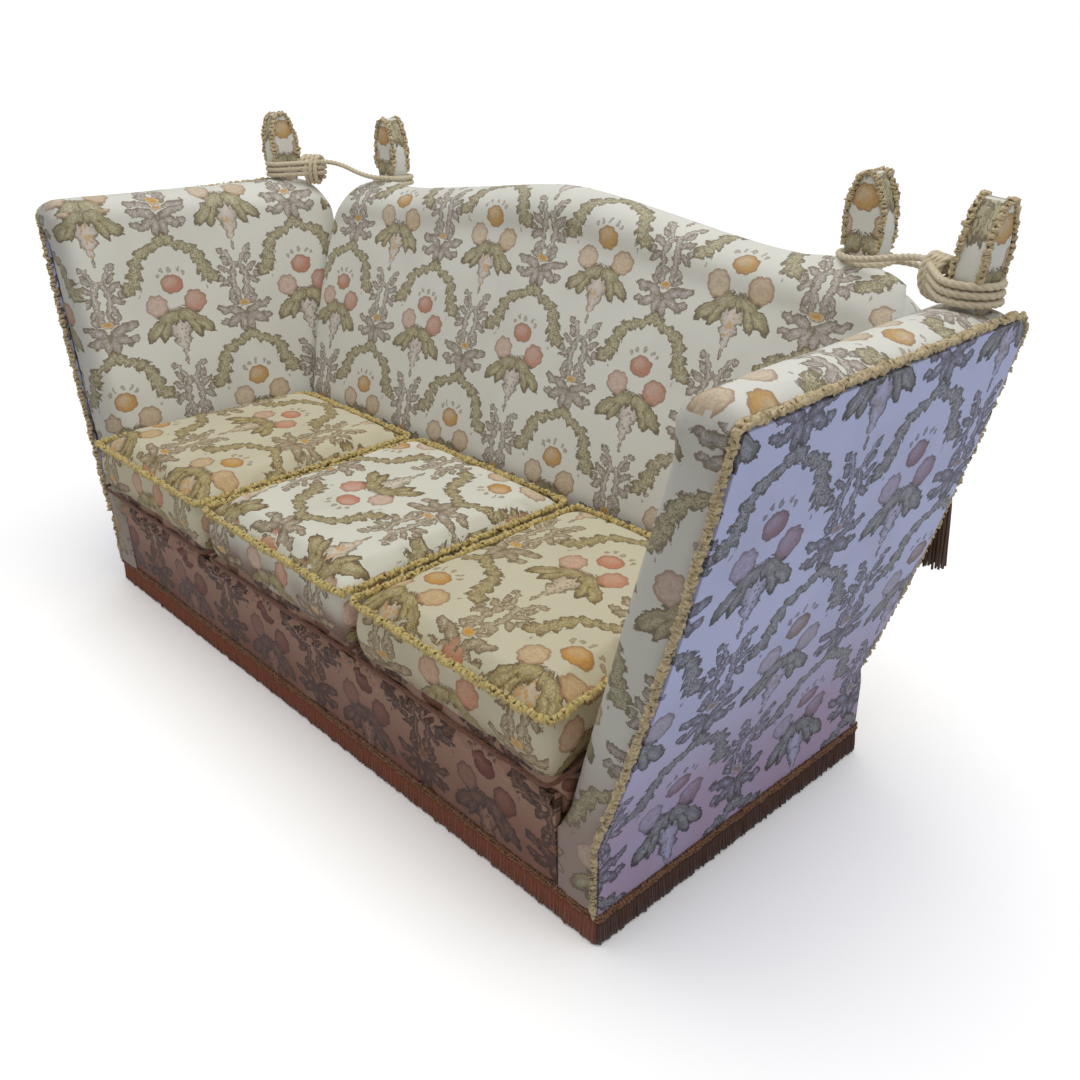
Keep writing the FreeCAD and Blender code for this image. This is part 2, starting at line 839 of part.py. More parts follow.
def finial_outline(y, inset, seat):
    """The lens outline of an ear's face, moved in by an inset all round above its seat."""
    base = finial_base_width / 2 - inset
    wide = finial_width / 2 - inset
    tip = finial_tip_width / 2 - inset / 2
    top = finial_height - inset
    shoulder = top - finial_tip_rise
    return Part.Wire(
        [
            line(Vector(-base, y, -seat), Vector(base, y, -seat)),
            line(Vector(base, y, -seat), Vector(base, y, 0)),
            arc(Vector(base, y, 0), Vector(wide, y, finial_widest), Vector(tip, y, shoulder)),
            arc(Vector(tip, y, shoulder), Vector(0, y, top), Vector(-tip, y, shoulder)),
            arc(Vector(-tip, y, shoulder), Vector(-wide, y, finial_widest), Vector(-base, y, 0)),
            line(Vector(-base, y, 0), Vector(-base, y, -seat)),
        ]
    )


def arm_finial_place():
    crown = arm_edge_height - arm_rim_fall + arm_crown_at(arm_finial_y)
    return arm_point(arm_edge_x - arm_finial_inset, arm_finial_y, crown - finial_sink)


def back_finial_place():
    x = back_finial_across
    y = (post_front + post_rear) / 2 + back_finial_set
    return back_point(x, y, camel_height(x) - finial_sink)


def finials():
    place = arm_finial_place()
    ear = finial(place.z - (arm_edge_height - arm_pad_over_rail))
    ear.rotate(Vector(0, 0, 0), Vector(0, 0, 1), 90)
    ear.translate(place)
    foot = place - Vector(0, 0, arm_crown)
    top_rail_line = box(0, base_width, front_y, rear_y, 0, arm_edge_height - arm_pad_over_rail)
    ear.rotate(foot, Vector(0, 1, 0), arm_finial_lean)
    arm_ear = ear.cut(top_rail_line)
    place = back_finial_place()
    back_ear = finial(back_top_padding)
    back_ear.translate(place)
    return arm_ear, back_ear


# Cords
def coil_path(centre, radius, start, sweep, pitch):
    """Arcs of about a quarter turn each, along a coil round an upright axis that climbs at a steady rate."""
    quarters = round(abs(sweep) / (math.pi / 2))
    step = sweep / quarters

    def at(share):
        angle = start + step * share
        rise = pitch * abs(step) * share / (2 * math.pi)
        return centre + Vector(radius * math.cos(angle), radius * math.sin(angle), rise)

    path = [arc(at(number), at(number + 0.5), at(number + 1)) for number in range(quarters)]
    start_point, heading = start_of(path)
    path.insert(0, line(start_point - heading * cord_diameter, start_point))
    end_point, heading = end_of(path)
    path.append(line(end_point, end_point + heading * cord_diameter))
    return path


def loop_path(place, ahead):
    """Long loops laid round the arm's ear and drawn out towards the back's ear, each on the one below."""
    aside = Vector(-ahead.y, ahead.x, 0)
    touch = math.acos((arm_turn_radius - loop_end_radius) / loop_length)
    straight = loop_length * math.sin(touch)
    round_ear = 2 * arm_turn_radius * (math.pi - touch)
    round_end = 2 * loop_end_radius * touch
    turn_length = 2 * straight + round_ear + round_end

    def at(away, radius, angle, run):
        flat = ahead * (away + radius * math.cos(angle)) + aside * (radius * math.sin(angle))
        return place + flat + Vector(0, 0, cord_pitch * run / turn_length)

    def bend(away, radius, start, end, run):
        middle = (start + end) / 2
        half = radius * abs(end - start) / 2
        return arc(
            at(away, radius, start, run),
            at(away, radius, middle, run + half),
            at(away, radius, end, run + 2 * half),
        )

    path = []
    for number in range(arm_turns):
        run = number * turn_length
        at_ear = run + straight
        leaving = at_ear + round_ear
        at_end = leaving + straight
        ear = arm_turn_radius
        path.append(line(at(loop_length, loop_end_radius, -touch, run), at(0, ear, -touch, at_ear)))
        path.append(bend(0, ear, -touch, -math.pi, at_ear))
        path.append(bend(0, ear, -math.pi, touch - 2 * math.pi, at_ear + round_ear / 2))
        path.append(line(at(0, ear, touch, leaving), at(loop_length, loop_end_radius, touch, at_end)))
        if number < arm_turns - 1:
            path.append(bend(loop_length, loop_end_radius, touch, -touch, at_end))
    return path, turn_length


def least_gap(path, turn_length):
    """Least clear distance between stretches of a tube that are over half a turn apart."""
    points = Part.Wire(path).discretize(Distance=gap_step)
    skip = int(turn_length / 2 / gap_step)
    nearest = turn_length
    for number, point in enumerate(points):
        for other in points[number + skip:]:
            nearest = min(nearest, point.distanceToPoint(other))
    return nearest - cord_diameter


def rounded_route(points):
    """Straight runs joined by tangent arcs, each as large as its two runs allow."""
    path = []
    start = points[0]
    for before, corner, after in zip(points, points[1:], points[2:]):
        arriving = (corner - before).normalize()
        leaving = (after - corner).normalize()
        shorter = min((corner - before).Length, (after - corner).Length)
        reach = bend_reach * shorter
        turn = arriving.getAngle(leaving)
        radius = reach / math.tan(turn / 2)
        print("  cord bend radius", round(radius))
        enter = corner - arriving * reach
        leave = corner + leaving * reach
        inward = (leaving - arriving).normalize()
        middle = corner + inward * (radius / math.cos(turn / 2) - radius)
        path.append(line(start, enter))
        path.append(arc(enter, middle, leave))
        start = leave
    path.append(line(start, points[-1]))
    return path


def end_of(path):
    last = path[-1]
    return last.valueAt(last.LastParameter), last.tangentAt(last.LastParameter)


def start_of(path):
    first = path[0]
    return first.valueAt(first.FirstParameter), first.tangentAt(first.FirstParameter)


def cord(path):
    solid = tube(path, cord_radius, cord_sides)
    section = cord_sides * cord_radius**2 * math.sin(2 * math.pi / cord_sides) / 2
    expected = section * Part.Wire(path).Length
    print("  cord volume over section times length", round(solid.Volume / expected, 4))
    return solid


def tassel(top):
    """A tassel under the cord's end: a round head, a bound neck and a long skirt."""
    head = top.z - tassel_head_height
    foot = top.z - tassel_length
    outline = [
        line(Vector(0, 0, top.z), Vector(cord_radius, 0, top.z)),
        arc(
            Vector(cord_radius, 0, top.z),
            Vector(tassel_head_radius, 0, top.z - tassel_head_height / 2),
            Vector(tassel_neck_radius, 0, head),
        ),
        arc(
            Vector(tassel_neck_radius, 0, head),
            Vector(tassel_waist_radius, 0, head - (head - foot) * tassel_waist_share),
            Vector(tassel_skirt_radius, 0, foot),
        ),
        line(Vector(tassel_skirt_radius, 0, foot), Vector(0, 0, foot)),
        line(Vector(0, 0, foot), Vector(0, 0, top.z)),
    ]
    body = face(outline).revolve(Vector(0, 0, 0), Vector(0, 0, 1), 360)
    body.translate(Vector(top.x, top.y, 0))
    return body


def knot_path(centre, along):
    """Turns of cord wrapped round the span, about an axis that lies along it."""
    flat = coil_path(Vector(0, 0, 0), knot_radius, 0, 2 * math.pi * knot_turns, knot_pitch)
    middle = Vector(0, 0, knot_pitch * knot_turns / 2)
    turn = FreeCAD.Rotation(Vector(0, 0, 1), along)
    place = FreeCAD.Placement(centre - turn.multVec(middle), turn)
    return [edge.transformed(place.toMatrix()) for edge in flat]


def span_path(arm_path, back_path):
    """The tied stretch between the two ears, eased into the line of each coil and just clear of the loops."""
    end_of_loops, leaving = end_of(arm_path)
    start = end_of_loops + leaving * soft_gap
    end, arriving = start_of(back_path)
    points = [start, start + leaving * span_lead, end - arriving * span_lead, end]
    return rounded_route(points)


def tail_path(back_path):
    """The free tail: off the back's ear, then straight down behind the back under the tassel's weight."""
    start, leaving = end_of(back_path)
    points = [start, start + leaving * tail_lead]
    for x, y, z in tail_steps:
        points.append(points[-1] + Vector(x, y, z))
    points.append(points[-1] + Vector(0, 0, -tail_drop))
    return rounded_route(points)


def cords():
    """The cord of one arm: loops on the arm's ear, a tied span, turns on the back's ear and a tail."""
    arm_place = arm_finial_place() + Vector(0, 0, cord_lift)
    back_place = back_finial_place() + Vector(0, 0, cord_lift)
    ahead = back_place - arm_place
    ahead.z = 0
    ahead.normalize()
    arm_path, loop_turn = loop_path(arm_place, ahead)
    start_angle = math.atan2(ahead.y, ahead.x) + math.pi / 2
    top_turn = back_place + Vector(0, 0, cord_pitch * back_turns)
    back_path = coil_path(top_turn, back_turn_radius, start_angle, -2 * math.pi * back_turns, -cord_pitch)
    span = span_path(arm_path, back_path)
    whole = Part.Wire(span)
    knot_centre = whole.discretize(Distance=whole.Length * knot_share)[1]
    beyond = end_of(span)[0]
    knot = knot_path(knot_centre, (beyond - knot_centre).normalize())
    print("least gap in arm loops", round(least_gap(arm_path, loop_turn), 2))
    print("least gap in back turns", round(least_gap(back_path, 2 * math.pi * back_turn_radius), 2))
    print("least gap in knot", round(least_gap(knot, 2 * math.pi * knot_radius), 2))
    save_pair("arm_cord_turns", cord(arm_path))
    save_pair("back_cord_turns", cord(back_path))
    save_pair("cord_span", Part.makeCompound([cord(span), cord(knot)]))
    tail = tail_path(back_path)
    save_pair("cord_tail", cord(tail))
    save_pair("tassel", tassel(end_of(tail)[0]))


# Seat cushions
def cushion_corners(left_edge, right_edge, inset):
    """Corners of a cushion's outline, with the side next to an arm following that arm."""
    front = front_y - cushion_overhang + inset
    rear = front_y + seat_depth - cushion_rear_gap - inset
    level = platform_top + cushion_height / 2
    corners = []
    front_pair = [(left_edge, 1, front), (right_edge, -1, front)]
    rear_pair = [(right_edge, -1, rear), (left_edge, 1, rear)]
    for edge, side, y in front_pair + rear_pair:
        if edge is None:
            x = -side * (arm_inner_x(level, max(y, front_y)) - cushion_arm_gap)
        else:
            x = edge
        corners.append((x + side * inset, y))
    return corners


def rounded_outline(corners, radius, z):
    """A closed chain of lines and tangent corner arcs through four corners."""
    count = len(corners)
    points = [Vector(x, y, z) for x, y in corners]
    rounds = []
    for number, corner in enumerate(points):
        before = (points[number - 1] - corner).normalize()
        after = (points[(number + 1) % count] - corner).normalize()
        half = before.getAngle(after) / 2
        reach = radius / math.tan(half)
        middle = (before + after).normalize() * (radius / math.sin(half) - radius)
        rounds.append((corner + before * reach, corner + middle, corner + after * reach))
    edges = []
    for number, (enter, middle, leave) in enumerate(rounds):
        edges.append(arc(enter, middle, leave))
        edges.append(line(leave, rounds[(number + 1) % count][0]))
    return edges


def seat_cushion(left_edge, right_edge):
    """A boxed cushion: crowned on top, drawn in at its seams, with looped trim round its top edge."""
    bottom = platform_top + soft_gap
    seam = cushion_draw_in

    def ring(height, inset):
        corners = cushion_corners(left_edge, right_edge, inset)
        return Part.Wire(rounded_outline(corners, cushion_corner, bottom + height))

    sides = []
    for step in range(cushion_side_steps + 1):
        share = step / cushion_side_steps
        sides.append(ring(cushion_height * share, seam * (2 * share - 1) ** 2))
    dome = []
    for step in range(round_steps + 1):
        angle = math.pi / 2 * step / round_steps
        run = cushion_crown_run * (1 - math.cos(angle))
        dome.append(ring(cushion_height + cushion_crown * math.sin(angle), seam + run))
    body = loft(sides).fuse(loft(dome, True))
    corners = cushion_corners(left_edge, right_edge, seam)
    edge_line = rounded_outline(corners, cushion_corner, bottom + cushion_height)
    trim = tube(edge_line, cushion_ruche_radius, ruche_sides)
    return body.cut(trim), trim


def cushions():
    level = platform_top + cushion_height / 2
    reach = arm_inner_x(level, front_y) - cushion_arm_gap
    seam = (2 * reach - 2 * cushion_gap) / 6
    edges = {
        "left": (None, -seam - cushion_gap),
        "middle": (-seam, seam),
        "right": (seam + cushion_gap, None),
    }
    for name, (left_edge, right_edge) in edges.items():
        cushion, trim = seat_cushion(left_edge, right_edge)
        save(name + "_seat_cushion", cushion)
        save(name + "_cushion_ruche", trim)


arm_ear, back_ear = finials()
seat_frame()
seat_support()
base_covers()
back_ear = back_ear.cut(back_frame())
save_pair("back_finial", back_ear)
save("back_pad", back_pad([back_ear, left_of(back_ear)]))
save("back_outer_panel", back_outer_panel())
hinges()
arm_frame()
save_pair("arm_finial", arm_ear)
arm_trim = arm_ruche()
save_pair("arm_ruche", arm_trim)
save_pair("arm_pad", arm_pad(arm_ear).cut(arm_trim))
cords()
cushions()
print(len(written), "nodes")
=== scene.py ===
import json
import math
from collections import namedtuple
import bpy
import numpy as np
from mathutils import Matrix, Vector


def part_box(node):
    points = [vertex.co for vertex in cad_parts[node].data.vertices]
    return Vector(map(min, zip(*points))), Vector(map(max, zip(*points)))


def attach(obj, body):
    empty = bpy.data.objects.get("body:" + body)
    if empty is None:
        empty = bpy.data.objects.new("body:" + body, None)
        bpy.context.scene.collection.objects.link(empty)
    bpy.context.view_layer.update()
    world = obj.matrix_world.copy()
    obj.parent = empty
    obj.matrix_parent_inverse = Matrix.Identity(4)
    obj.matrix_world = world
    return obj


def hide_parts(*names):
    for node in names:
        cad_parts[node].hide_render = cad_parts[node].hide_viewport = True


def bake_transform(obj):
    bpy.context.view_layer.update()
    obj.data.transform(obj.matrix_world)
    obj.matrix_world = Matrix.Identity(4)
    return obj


bl_info = {
    "name": "Knole sofa",
    "version": (1, 0, 0),
    "blender": (4, 5, 0),
    "location": "View3D > Sidebar > Sofa",
    "description": "Upholstery, trims, cords and stage of a knole sofa with drop arms",
    "category": "Object",
}

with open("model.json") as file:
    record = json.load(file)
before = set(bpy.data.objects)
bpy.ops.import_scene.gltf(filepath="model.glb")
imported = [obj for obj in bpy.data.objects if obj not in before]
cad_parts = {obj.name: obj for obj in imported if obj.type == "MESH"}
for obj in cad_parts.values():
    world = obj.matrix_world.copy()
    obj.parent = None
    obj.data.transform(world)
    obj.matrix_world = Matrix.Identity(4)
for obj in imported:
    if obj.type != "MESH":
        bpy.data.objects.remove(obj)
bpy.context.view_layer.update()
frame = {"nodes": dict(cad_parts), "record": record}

SIDES = {"left": -1, "right": 1}

# Lengths in metres. The arms flare and bulge outwards, rake back and taper inwards; the back leans above a bend
HINGE_Z = 0.2
ARM_TOP = 0.95
ARM_DEPTH = 0.744
ARM_FLARE = 0.194
ARM_BULGE = 0.056
ARM_RAKE = 0.0507
INNER_FOOT = 0.811
INNER_FLARE = 0.179
INNER_TAPER = 0.075
BASE_HALF = 0.9
BORDER_HALF = 0.8055
REAR_BEND = 0.23
REAR_LEAN = 0.1825
CAMEL_HALF = 0.31
CAMEL_RISE = 0.03
CROWN_TOP = 1.023
SHOULDER_TOP = 0.963
PATTERN_RISE = 0.232
FRONT_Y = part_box("front_border")[0].y
REAR_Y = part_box("back_outer_panel")[0].y + 0.01
COVER_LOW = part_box("front_border")[0].z
BORDER_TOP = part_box("front_border")[1].z

# Edges of a sheet sharper than this angle, in degrees, stay sharp
SHEET_ANGLE = 40

# Painted shade: the dark colour mixed into the cream trims for the shade in their hollows
TRIM_HOLLOW_SHADE = (0.3, 0.19, 0.07, 1)


def tone(red, green, blue):
    """A colour given as it looks on a screen, 0 to 255, as the shaders' linear colour."""
    def straight(value):
        share = value / 255
        return share / 12.92 if share <= 0.04045 else ((share + 0.055) / 1.055) ** 2.4
    return (straight(red), straight(green), straight(blue), 1.0)


def colour(name, words, red, green, blue):
    return bpy.props.FloatVectorProperty(
        name=name, description=words, subtype="COLOR", size=4, min=0, max=1, default=tone(red, green, blue)
    )


def length(name, words, size):
    return bpy.props.FloatProperty(name=name, description=words, default=size, min=0.0, unit="LENGTH")


class SofaSizes(bpy.types.PropertyGroup):
    """Sizes of the soft pieces and of the woven pattern."""

    repeat_width: length("Repeat width", "Width of one repeat of the woven pattern", 0.365)
    repeat_height: length("Repeat height", "Height of one repeat of the woven pattern", 0.54)
    rope: length("Rope", "Diameter of the tying cords", 0.013)
    arm_trim: length("Arm trim", "Radius of the looped trim round the arms", 0.0078)
    cushion_trim: length("Cushion trim", "Radius of the looped trim round the cushions", 0.0082)
    ear_trim: length("Ear trim", "Radius of the looped trim round the ears", 0.0072)
    cushion_swell: length("Cushion swell", "Most that a cushion's cover swells when it is filled", 0.024)
    fringe_step: length("Fringe step", "Distance between the yarns of the fringe", 0.0046)


class SofaColours(bpy.types.PropertyGroup):
    """Colours of the grounds, trims and yarns."""

    ground_inside: colour("Inside ground", "Ground of the cover on the back and inside the arms", 231, 231, 222)
    ground_seat: colour("Seat ground", "Ground of the cushions' covers", 214, 208, 180)
    ground_middle: colour("Middle ground", "Ground of the middle cushion's cover", 229, 229, 214)
    ground_side: colour("Side ground", "Ground of the cover outside the arms", 194, 200, 240)
    # Painted shade in part: the border's ground is darkened for its front face, which lies in shadow
    ground_border: colour("Border ground", "Ground of the cover below the cushions", 166, 128, 108)
    trim_gold: colour("Gold trim", "Looped trim of the cushions", 232, 210, 136)
    trim_cream: colour("Cream trim", "Looped trim of the arms and ears", 222, 204, 164)
    rope_cream: colour("Cord", "Twisted cords", 232, 220, 192)
    fringe_rust: colour("Fringe", "Yarns of the fringe", 156, 84, 52)
    tassel_brown: colour("Tassel", "Yarns of the tassels", 96, 62, 40)


def sizes():
    return bpy.context.scene.sofa_sizes


def colours():
    return bpy.context.scene.sofa_colours


# Shader maths
class Value:
    """A socket of a node that can stand in a sum."""

    def __init__(self, sheet, socket):
        self.sheet = sheet
        self.socket = socket

    def maths(self, operation, *others):
        return self.sheet.add("ShaderNodeMath", {"operation": operation}, [self, *others])

    def __add__(self, other):
        return self.maths("ADD", other)

    __radd__ = __add__

    def __sub__(self, other):
        return self.maths("SUBTRACT", other)

    def __rsub__(self, other):
        return self.sheet.add("ShaderNodeMath", {"operation": "SUBTRACT"}, [other, self])

    def __mul__(self, other):
        return self.maths("MULTIPLY", other)

    __rmul__ = __mul__

    def __truediv__(self, other):
        return self.maths("DIVIDE", other)

    def __pow__(self, other):
        return self.maths("POWER", other)

    def __abs__(self):
        return self.maths("ABSOLUTE")

    def least(self, other):
        return self.maths("MINIMUM", other)

    def most(self, other):
        return self.maths("MAXIMUM", other)

    def rises(self, low, high):
        """0 below low, 1 above high and smooth between; the two may be the other way round."""
        return self.sheet.add(
            "ShaderNodeMapRange",
            {"interpolation_type": "SMOOTHSTEP"},
            {"Value": self, "From Min": low, "From Max": high, "To Min": 0.0, "To Max": 1.0},
            "Result",
        )


class Sheet:
    """The node tree of one material."""

    def __init__(self, name):
        self.material = bpy.data.materials.new(name)
        self.material.use_nodes = True
        self.tree = self.material.node_tree
        self.tree.nodes.clear()

    def add(self, kind, settings=None, values=None, output=0):
        node = self.tree.nodes.new(kind)
        for key, setting in (settings or {}).items():
            if key == "stops":
                ramp = node.color_ramp
                while len(ramp.elements) < len(setting):
                    ramp.elements.new(0.5)
                for element, (place, shade) in zip(ramp.elements, setting):
                    element.position = place
                    element.color = shade
            else:
                setattr(node, key, setting)
        pairs = values.items() if isinstance(values, dict) else enumerate(values or [])
        for key, given in pairs:
            socket = node.inputs[key]
            if isinstance(given, Value):
                self.tree.links.new(given.socket, socket)
            elif given is not None:
                socket.default_value = given
        return Value(self, node.outputs[output]) if len(node.outputs) else None

    def blend(self, share, first, second):
        return self.add("ShaderNodeMix", {"data_type": "RGBA"}, {0: share, 6: first, 7: second}, 2)

    def parts(self, vector):
        node = self.tree.nodes.new("ShaderNodeSeparateXYZ")
        self.tree.links.new(vector.socket, node.inputs[0])
        return [Value(self, socket) for socket in node.outputs]

    def place(self):
        """The piece's own coordinates, in metres."""
        return self.add("ShaderNodeTexCoord", output="Object")

    def noise(self, vector, scale, detail=2.0, rough=0.5, output="Fac"):
        values = {"Vector": vector, "Scale": scale, "Detail": detail, "Roughness": rough}
        return self.add("ShaderNodeTexNoise", {}, values, output)

    def finish(self, values, relief=None, strength=0.3, distance=0.001):
        if relief is not None:
            bump = {"Height": relief, "Strength": strength, "Distance": distance}
            values = dict(values, Normal=self.add("ShaderNodeBump", {}, bump))
        shader = self.add("ShaderNodeBsdfPrincipled", {}, values)
        self.add("ShaderNodeOutputMaterial", {}, {"Surface": shader})
        return self.material


def mixed(first, second, share):
    return tuple(a + (b - a) * share for a, b in zip(first, second))


def oval(across, along, x, y, wide, high, turn=0.0):
    """Distance from the middle of an oval, 1 at its edge."""
    cos, sin = math.cos(math.radians(turn)), math.sin(math.radians(turn))
    dx = across - x
    dy = along - y
    p = dx * (cos / wide) + dy * (sin / wide)
    q = dy * (cos / high) - dx * (sin / high)
    return (p * p + q * q).maths("SQRT")


def ovals(across, along, *rows):
    """Distance from the middle of the nearest of some ovals, 1 at its edge."""
    nearest = oval(across, along, *rows[0])
    for row in rows[1:]:
        nearest = nearest.least(oval(across, along, *row))
    return nearest


def garland(across, along):
    """Distance across a curling arch of leaves, 1 at its edge, and the run along its veins."""
    out = across + 120.0
    up = along - 200.0
    turn = out.maths("ARCTAN2", up)
    run = turn * 255.0
    off = (out * out + up * up).maths("SQRT") - 255.0
    off = off + (run / 19.0).maths("SINE") * 7.0
    wide = turn.rises(0.65, 1.05) * 8.0 + 13.0
    lobes = abs((run / 8.5 + off.maths("SIGN") * 1.2 - abs(off) * 0.1).maths("SINE")) ** 0.8
    edge = abs(off) / (wide * (lobes * 0.62 + 0.55))
    return edge + (turn - 1.16).most(0.0) * 16.0 + (0.5 - turn).most(0.0) * 9.0, run + abs(off) * 0.9


def palmette(across, along):
    """Distance out from the middles of the leaves of a drooping fan, 1 at their scalloped edges, and the angle from
    below round the fan's heart."""
    angle = across.maths("ARCTAN2", 250.0 - along)
    leaves = ovals(across, along, (25, 220, 36, 21, -14), (62, 193, 35, 20, -46), (38, 190, 30, 14, -62))
    return leaves / (abs((angle * 9.0).maths("SINE")) * 0.36 + 0.76), angle


# Colours of one cloth: its ground, above and low down, and its figures
Dyes = namedtuple("Dyes", "ground low leaf_dark leaf_light coral ochre scroll outline")


def brocade(name, dyes, fade, shade):
    """Woven brocade on the piece's own pattern map, its figures placed in millimetres: bouquets of coral and of ochre
    flowers over leaf fans with a speckled drop below, in half-dropped columns, framed by arches of leaves, with grey
    scrolls, sprays and small flowers between. The ground changes between two heights, and painted shade darkens the
    front."""
    sheet = Sheet(name)
    weave = sheet.add("ShaderNodeUVMap", {"uv_map": "pattern"})
    place = sheet.place()
    warp = sheet.noise(weave, 62.0, 3.0, 0.62, "Color")
    fine = sheet.noise(weave, 420.0, 2.0, 0.6)
    wear = sheet.noise(place, 4.5, 3.0, 0.55)
    push_x, push_y, push_z = sheet.parts(warp)
    u, v, _ = sheet.parts(weave)
    half = sizes().repeat_width / 2 * 1000
    tall = sizes().repeat_height * 1000
    x = u * 1000.0 + (push_x - 0.5) * 23.0
    y = v * 1000.0 + (push_y - 0.5) * 23.0
    column = (x / half + 0.5).maths("FLOOR")
    x = x - column * half
    odd = column.maths("FLOORED_MODULO", 2.0)
    y = (y - odd * (tall / 2)).maths("FLOORED_MODULO", tall)
    ax = abs(x)
    ragged = (push_z - 0.5) * 0.55 + (fine - 0.5) * 0.36

    def figure(edge, under, stops, strength=1.0, torn=1.0):
        rough = edge + ragged * torn
        fill = sheet.add("ShaderNodeValToRGB", {"stops": stops}, {"Fac": rough}, "Color")
        return sheet.blend(rough.rises(1.03, 0.97) * strength, under, fill)

    d = dyes
    height = sheet.parts(place)[2]
    ground = sheet.blend(height.rises(fade[1], fade[0]), d.ground, d.low)
    cloth = sheet.blend(wear.rises(0.42, 0.75) * 0.7, ground, mixed(d.ground, d.scroll, 0.25))
    cloth = sheet.blend((fine - 0.5) * 0.55 + 0.1, cloth, mixed(d.ground, d.outline, 0.35))

    # Grey scrolls between the bouquets: horns that curl outwards over a leafy lyre, down to a small flower
    low = (y + 140.0).maths("FLOORED_MODULO", tall) - 140.0
    lobes = abs((low / 7.0).maths("SINE"))
    rise = (low - 57.0).most(0.0)
    horn = abs(ax - (rise / 41.0) ** 0.7 * 25.0 - 5.0) / (lobes * 3.0 + 5.0)
    horn = horn + (rise - 40.0).most(0.0) / 5.0 + (57.0 - low).most(0.0) / 5.0
    belly = ((low - 59.0) * (math.pi / 84.0)).maths("SINE") * -11.0 + 7.0
    lyre = abs(ax - belly) / (lobes * 5.0 + 6.0) + (abs(low - 20.0) - 40.0).most(0.0) / 6.0
    curls = ((39, 97, 10, 9), (33, 46, 24, 9, 28), (38, 14, 20, 9, -32), (27, -14, 19, 8, -58))
    lobed = ((0, 108, 5, 12), (31, 70, 17, 8, 55), (52, 28, 13, 10), (13, -30, 9, 15))
    sprays = ((27, -60, 31, 12, 22), (58, -54, 22, 10, 26), (33, -84, 30, 12, -30), (10, -92, 13, 28))
    twigs = ((60, -84, 14, 10, -10), (28, -36, 15, 8, 35))
    figured = horn.least(lyre).least(ovals(ax, low, *curls, *lobed, *sprays, *twigs))
    scroll_stops = [(0.0, mixed(d.scroll, d.ground, 0.6)), (0.4, d.scroll), (0.6, d.scroll), (0.8, d.outline)]
    contour = (sheet.noise(weave, 105.0, 1.5, 0.55) * 34.0).maths("SINE").rises(0.3, 0.8)
    cloth = figure(figured, cloth, scroll_stops, 0.85, 0.9)
    cloth = sheet.blend(contour * figured.rises(0.95, 0.7) * 0.6, cloth, d.outline)

    green = mixed(d.leaf_dark, d.leaf_light, 0.55)
    inner = mixed(d.leaf_light, d.ground, 0.2)
    leaf_stops = [(0.0, green), (0.14, inner), (0.5, d.leaf_light), (0.68, green), (0.82, d.outline)]
    own, own_run = garland(ax, y)
    near, near_run = garland(half - ax, (y + tall / 2).maths("FLOORED_MODULO", tall))
    for edge, run in ((own, own_run), (near, near_run)):
        cloth = figure(edge, cloth, leaf_stops, 0.9)
        veins = (run / 3.0).maths("SINE").rises(0.3, 0.9) * edge.rises(0.95, 0.75) * edge.rises(0.08, 0.3)
        cloth = sheet.blend((veins * 0.5).most(contour * edge.rises(0.95, 0.8) * 0.8), cloth, d.outline)

    # The speckled drop below each fan, the fan, and the flowers over it
    scales = abs((y / 9.0).maths("SINE")) * 0.4 + 0.75
    drop = ax / ((((y - 122.0).most(0.0) / 66.0) ** 0.8 * 28.0 + 3.0) * scales)
    drop = drop + (y - 206.0).most(0.0) / 5.0 + (118.0 - y).most(0.0) / 5.0
    cells = sheet.add("ShaderNodeTexVoronoi", {}, {"Vector": weave, "Scale": 110.0}, "Distance")
    rose = mixed(d.coral, d.ground, 0.7)
    cloth = figure(drop, cloth, [(0.0, rose), (0.62, mixed(d.scroll, d.ground, 0.3)), (0.86, d.outline)], 0.85, 0.9)
    specks = cells.rises(0.4, 0.3) * drop.rises(0.9, 0.7)
    heart = oval(ax, y, 0, 172, 10, 13).rises(1.0, 0.5)
    cloth = sheet.blend(specks * 0.7, cloth, sheet.blend(odd, mixed(d.scroll, d.outline, 0.5), d.ochre))
    cloth = sheet.blend(heart * odd * 0.75, cloth, mixed(d.ochre, d.ground, 0.15))
    fan, angle = palmette(ax, y)
    cloth = figure(fan, cloth, leaf_stops, 0.95, 0.7)
    ribs = (angle * 15.0 + fan * 2.0).maths("SINE").rises(0.45, 0.95) * fan.rises(0.95, 0.8)
    cloth = sheet.blend((ribs * 0.45).most(contour * fan.rises(0.95, 0.85) * 0.55), cloth, d.outline)

    buds = ((92, 284, 5, 6), (34, 328, 5, 6), (99, 262, 6, 5), (82, 300, 4, 5), (22, 338, 4, 7, -25), (0, 340, 5, 8))
    cloth = figure(ovals(ax, y, *buds), cloth, [(0.0, d.scroll), (0.7, mixed(d.scroll, d.outline, 0.6))], 0.7)

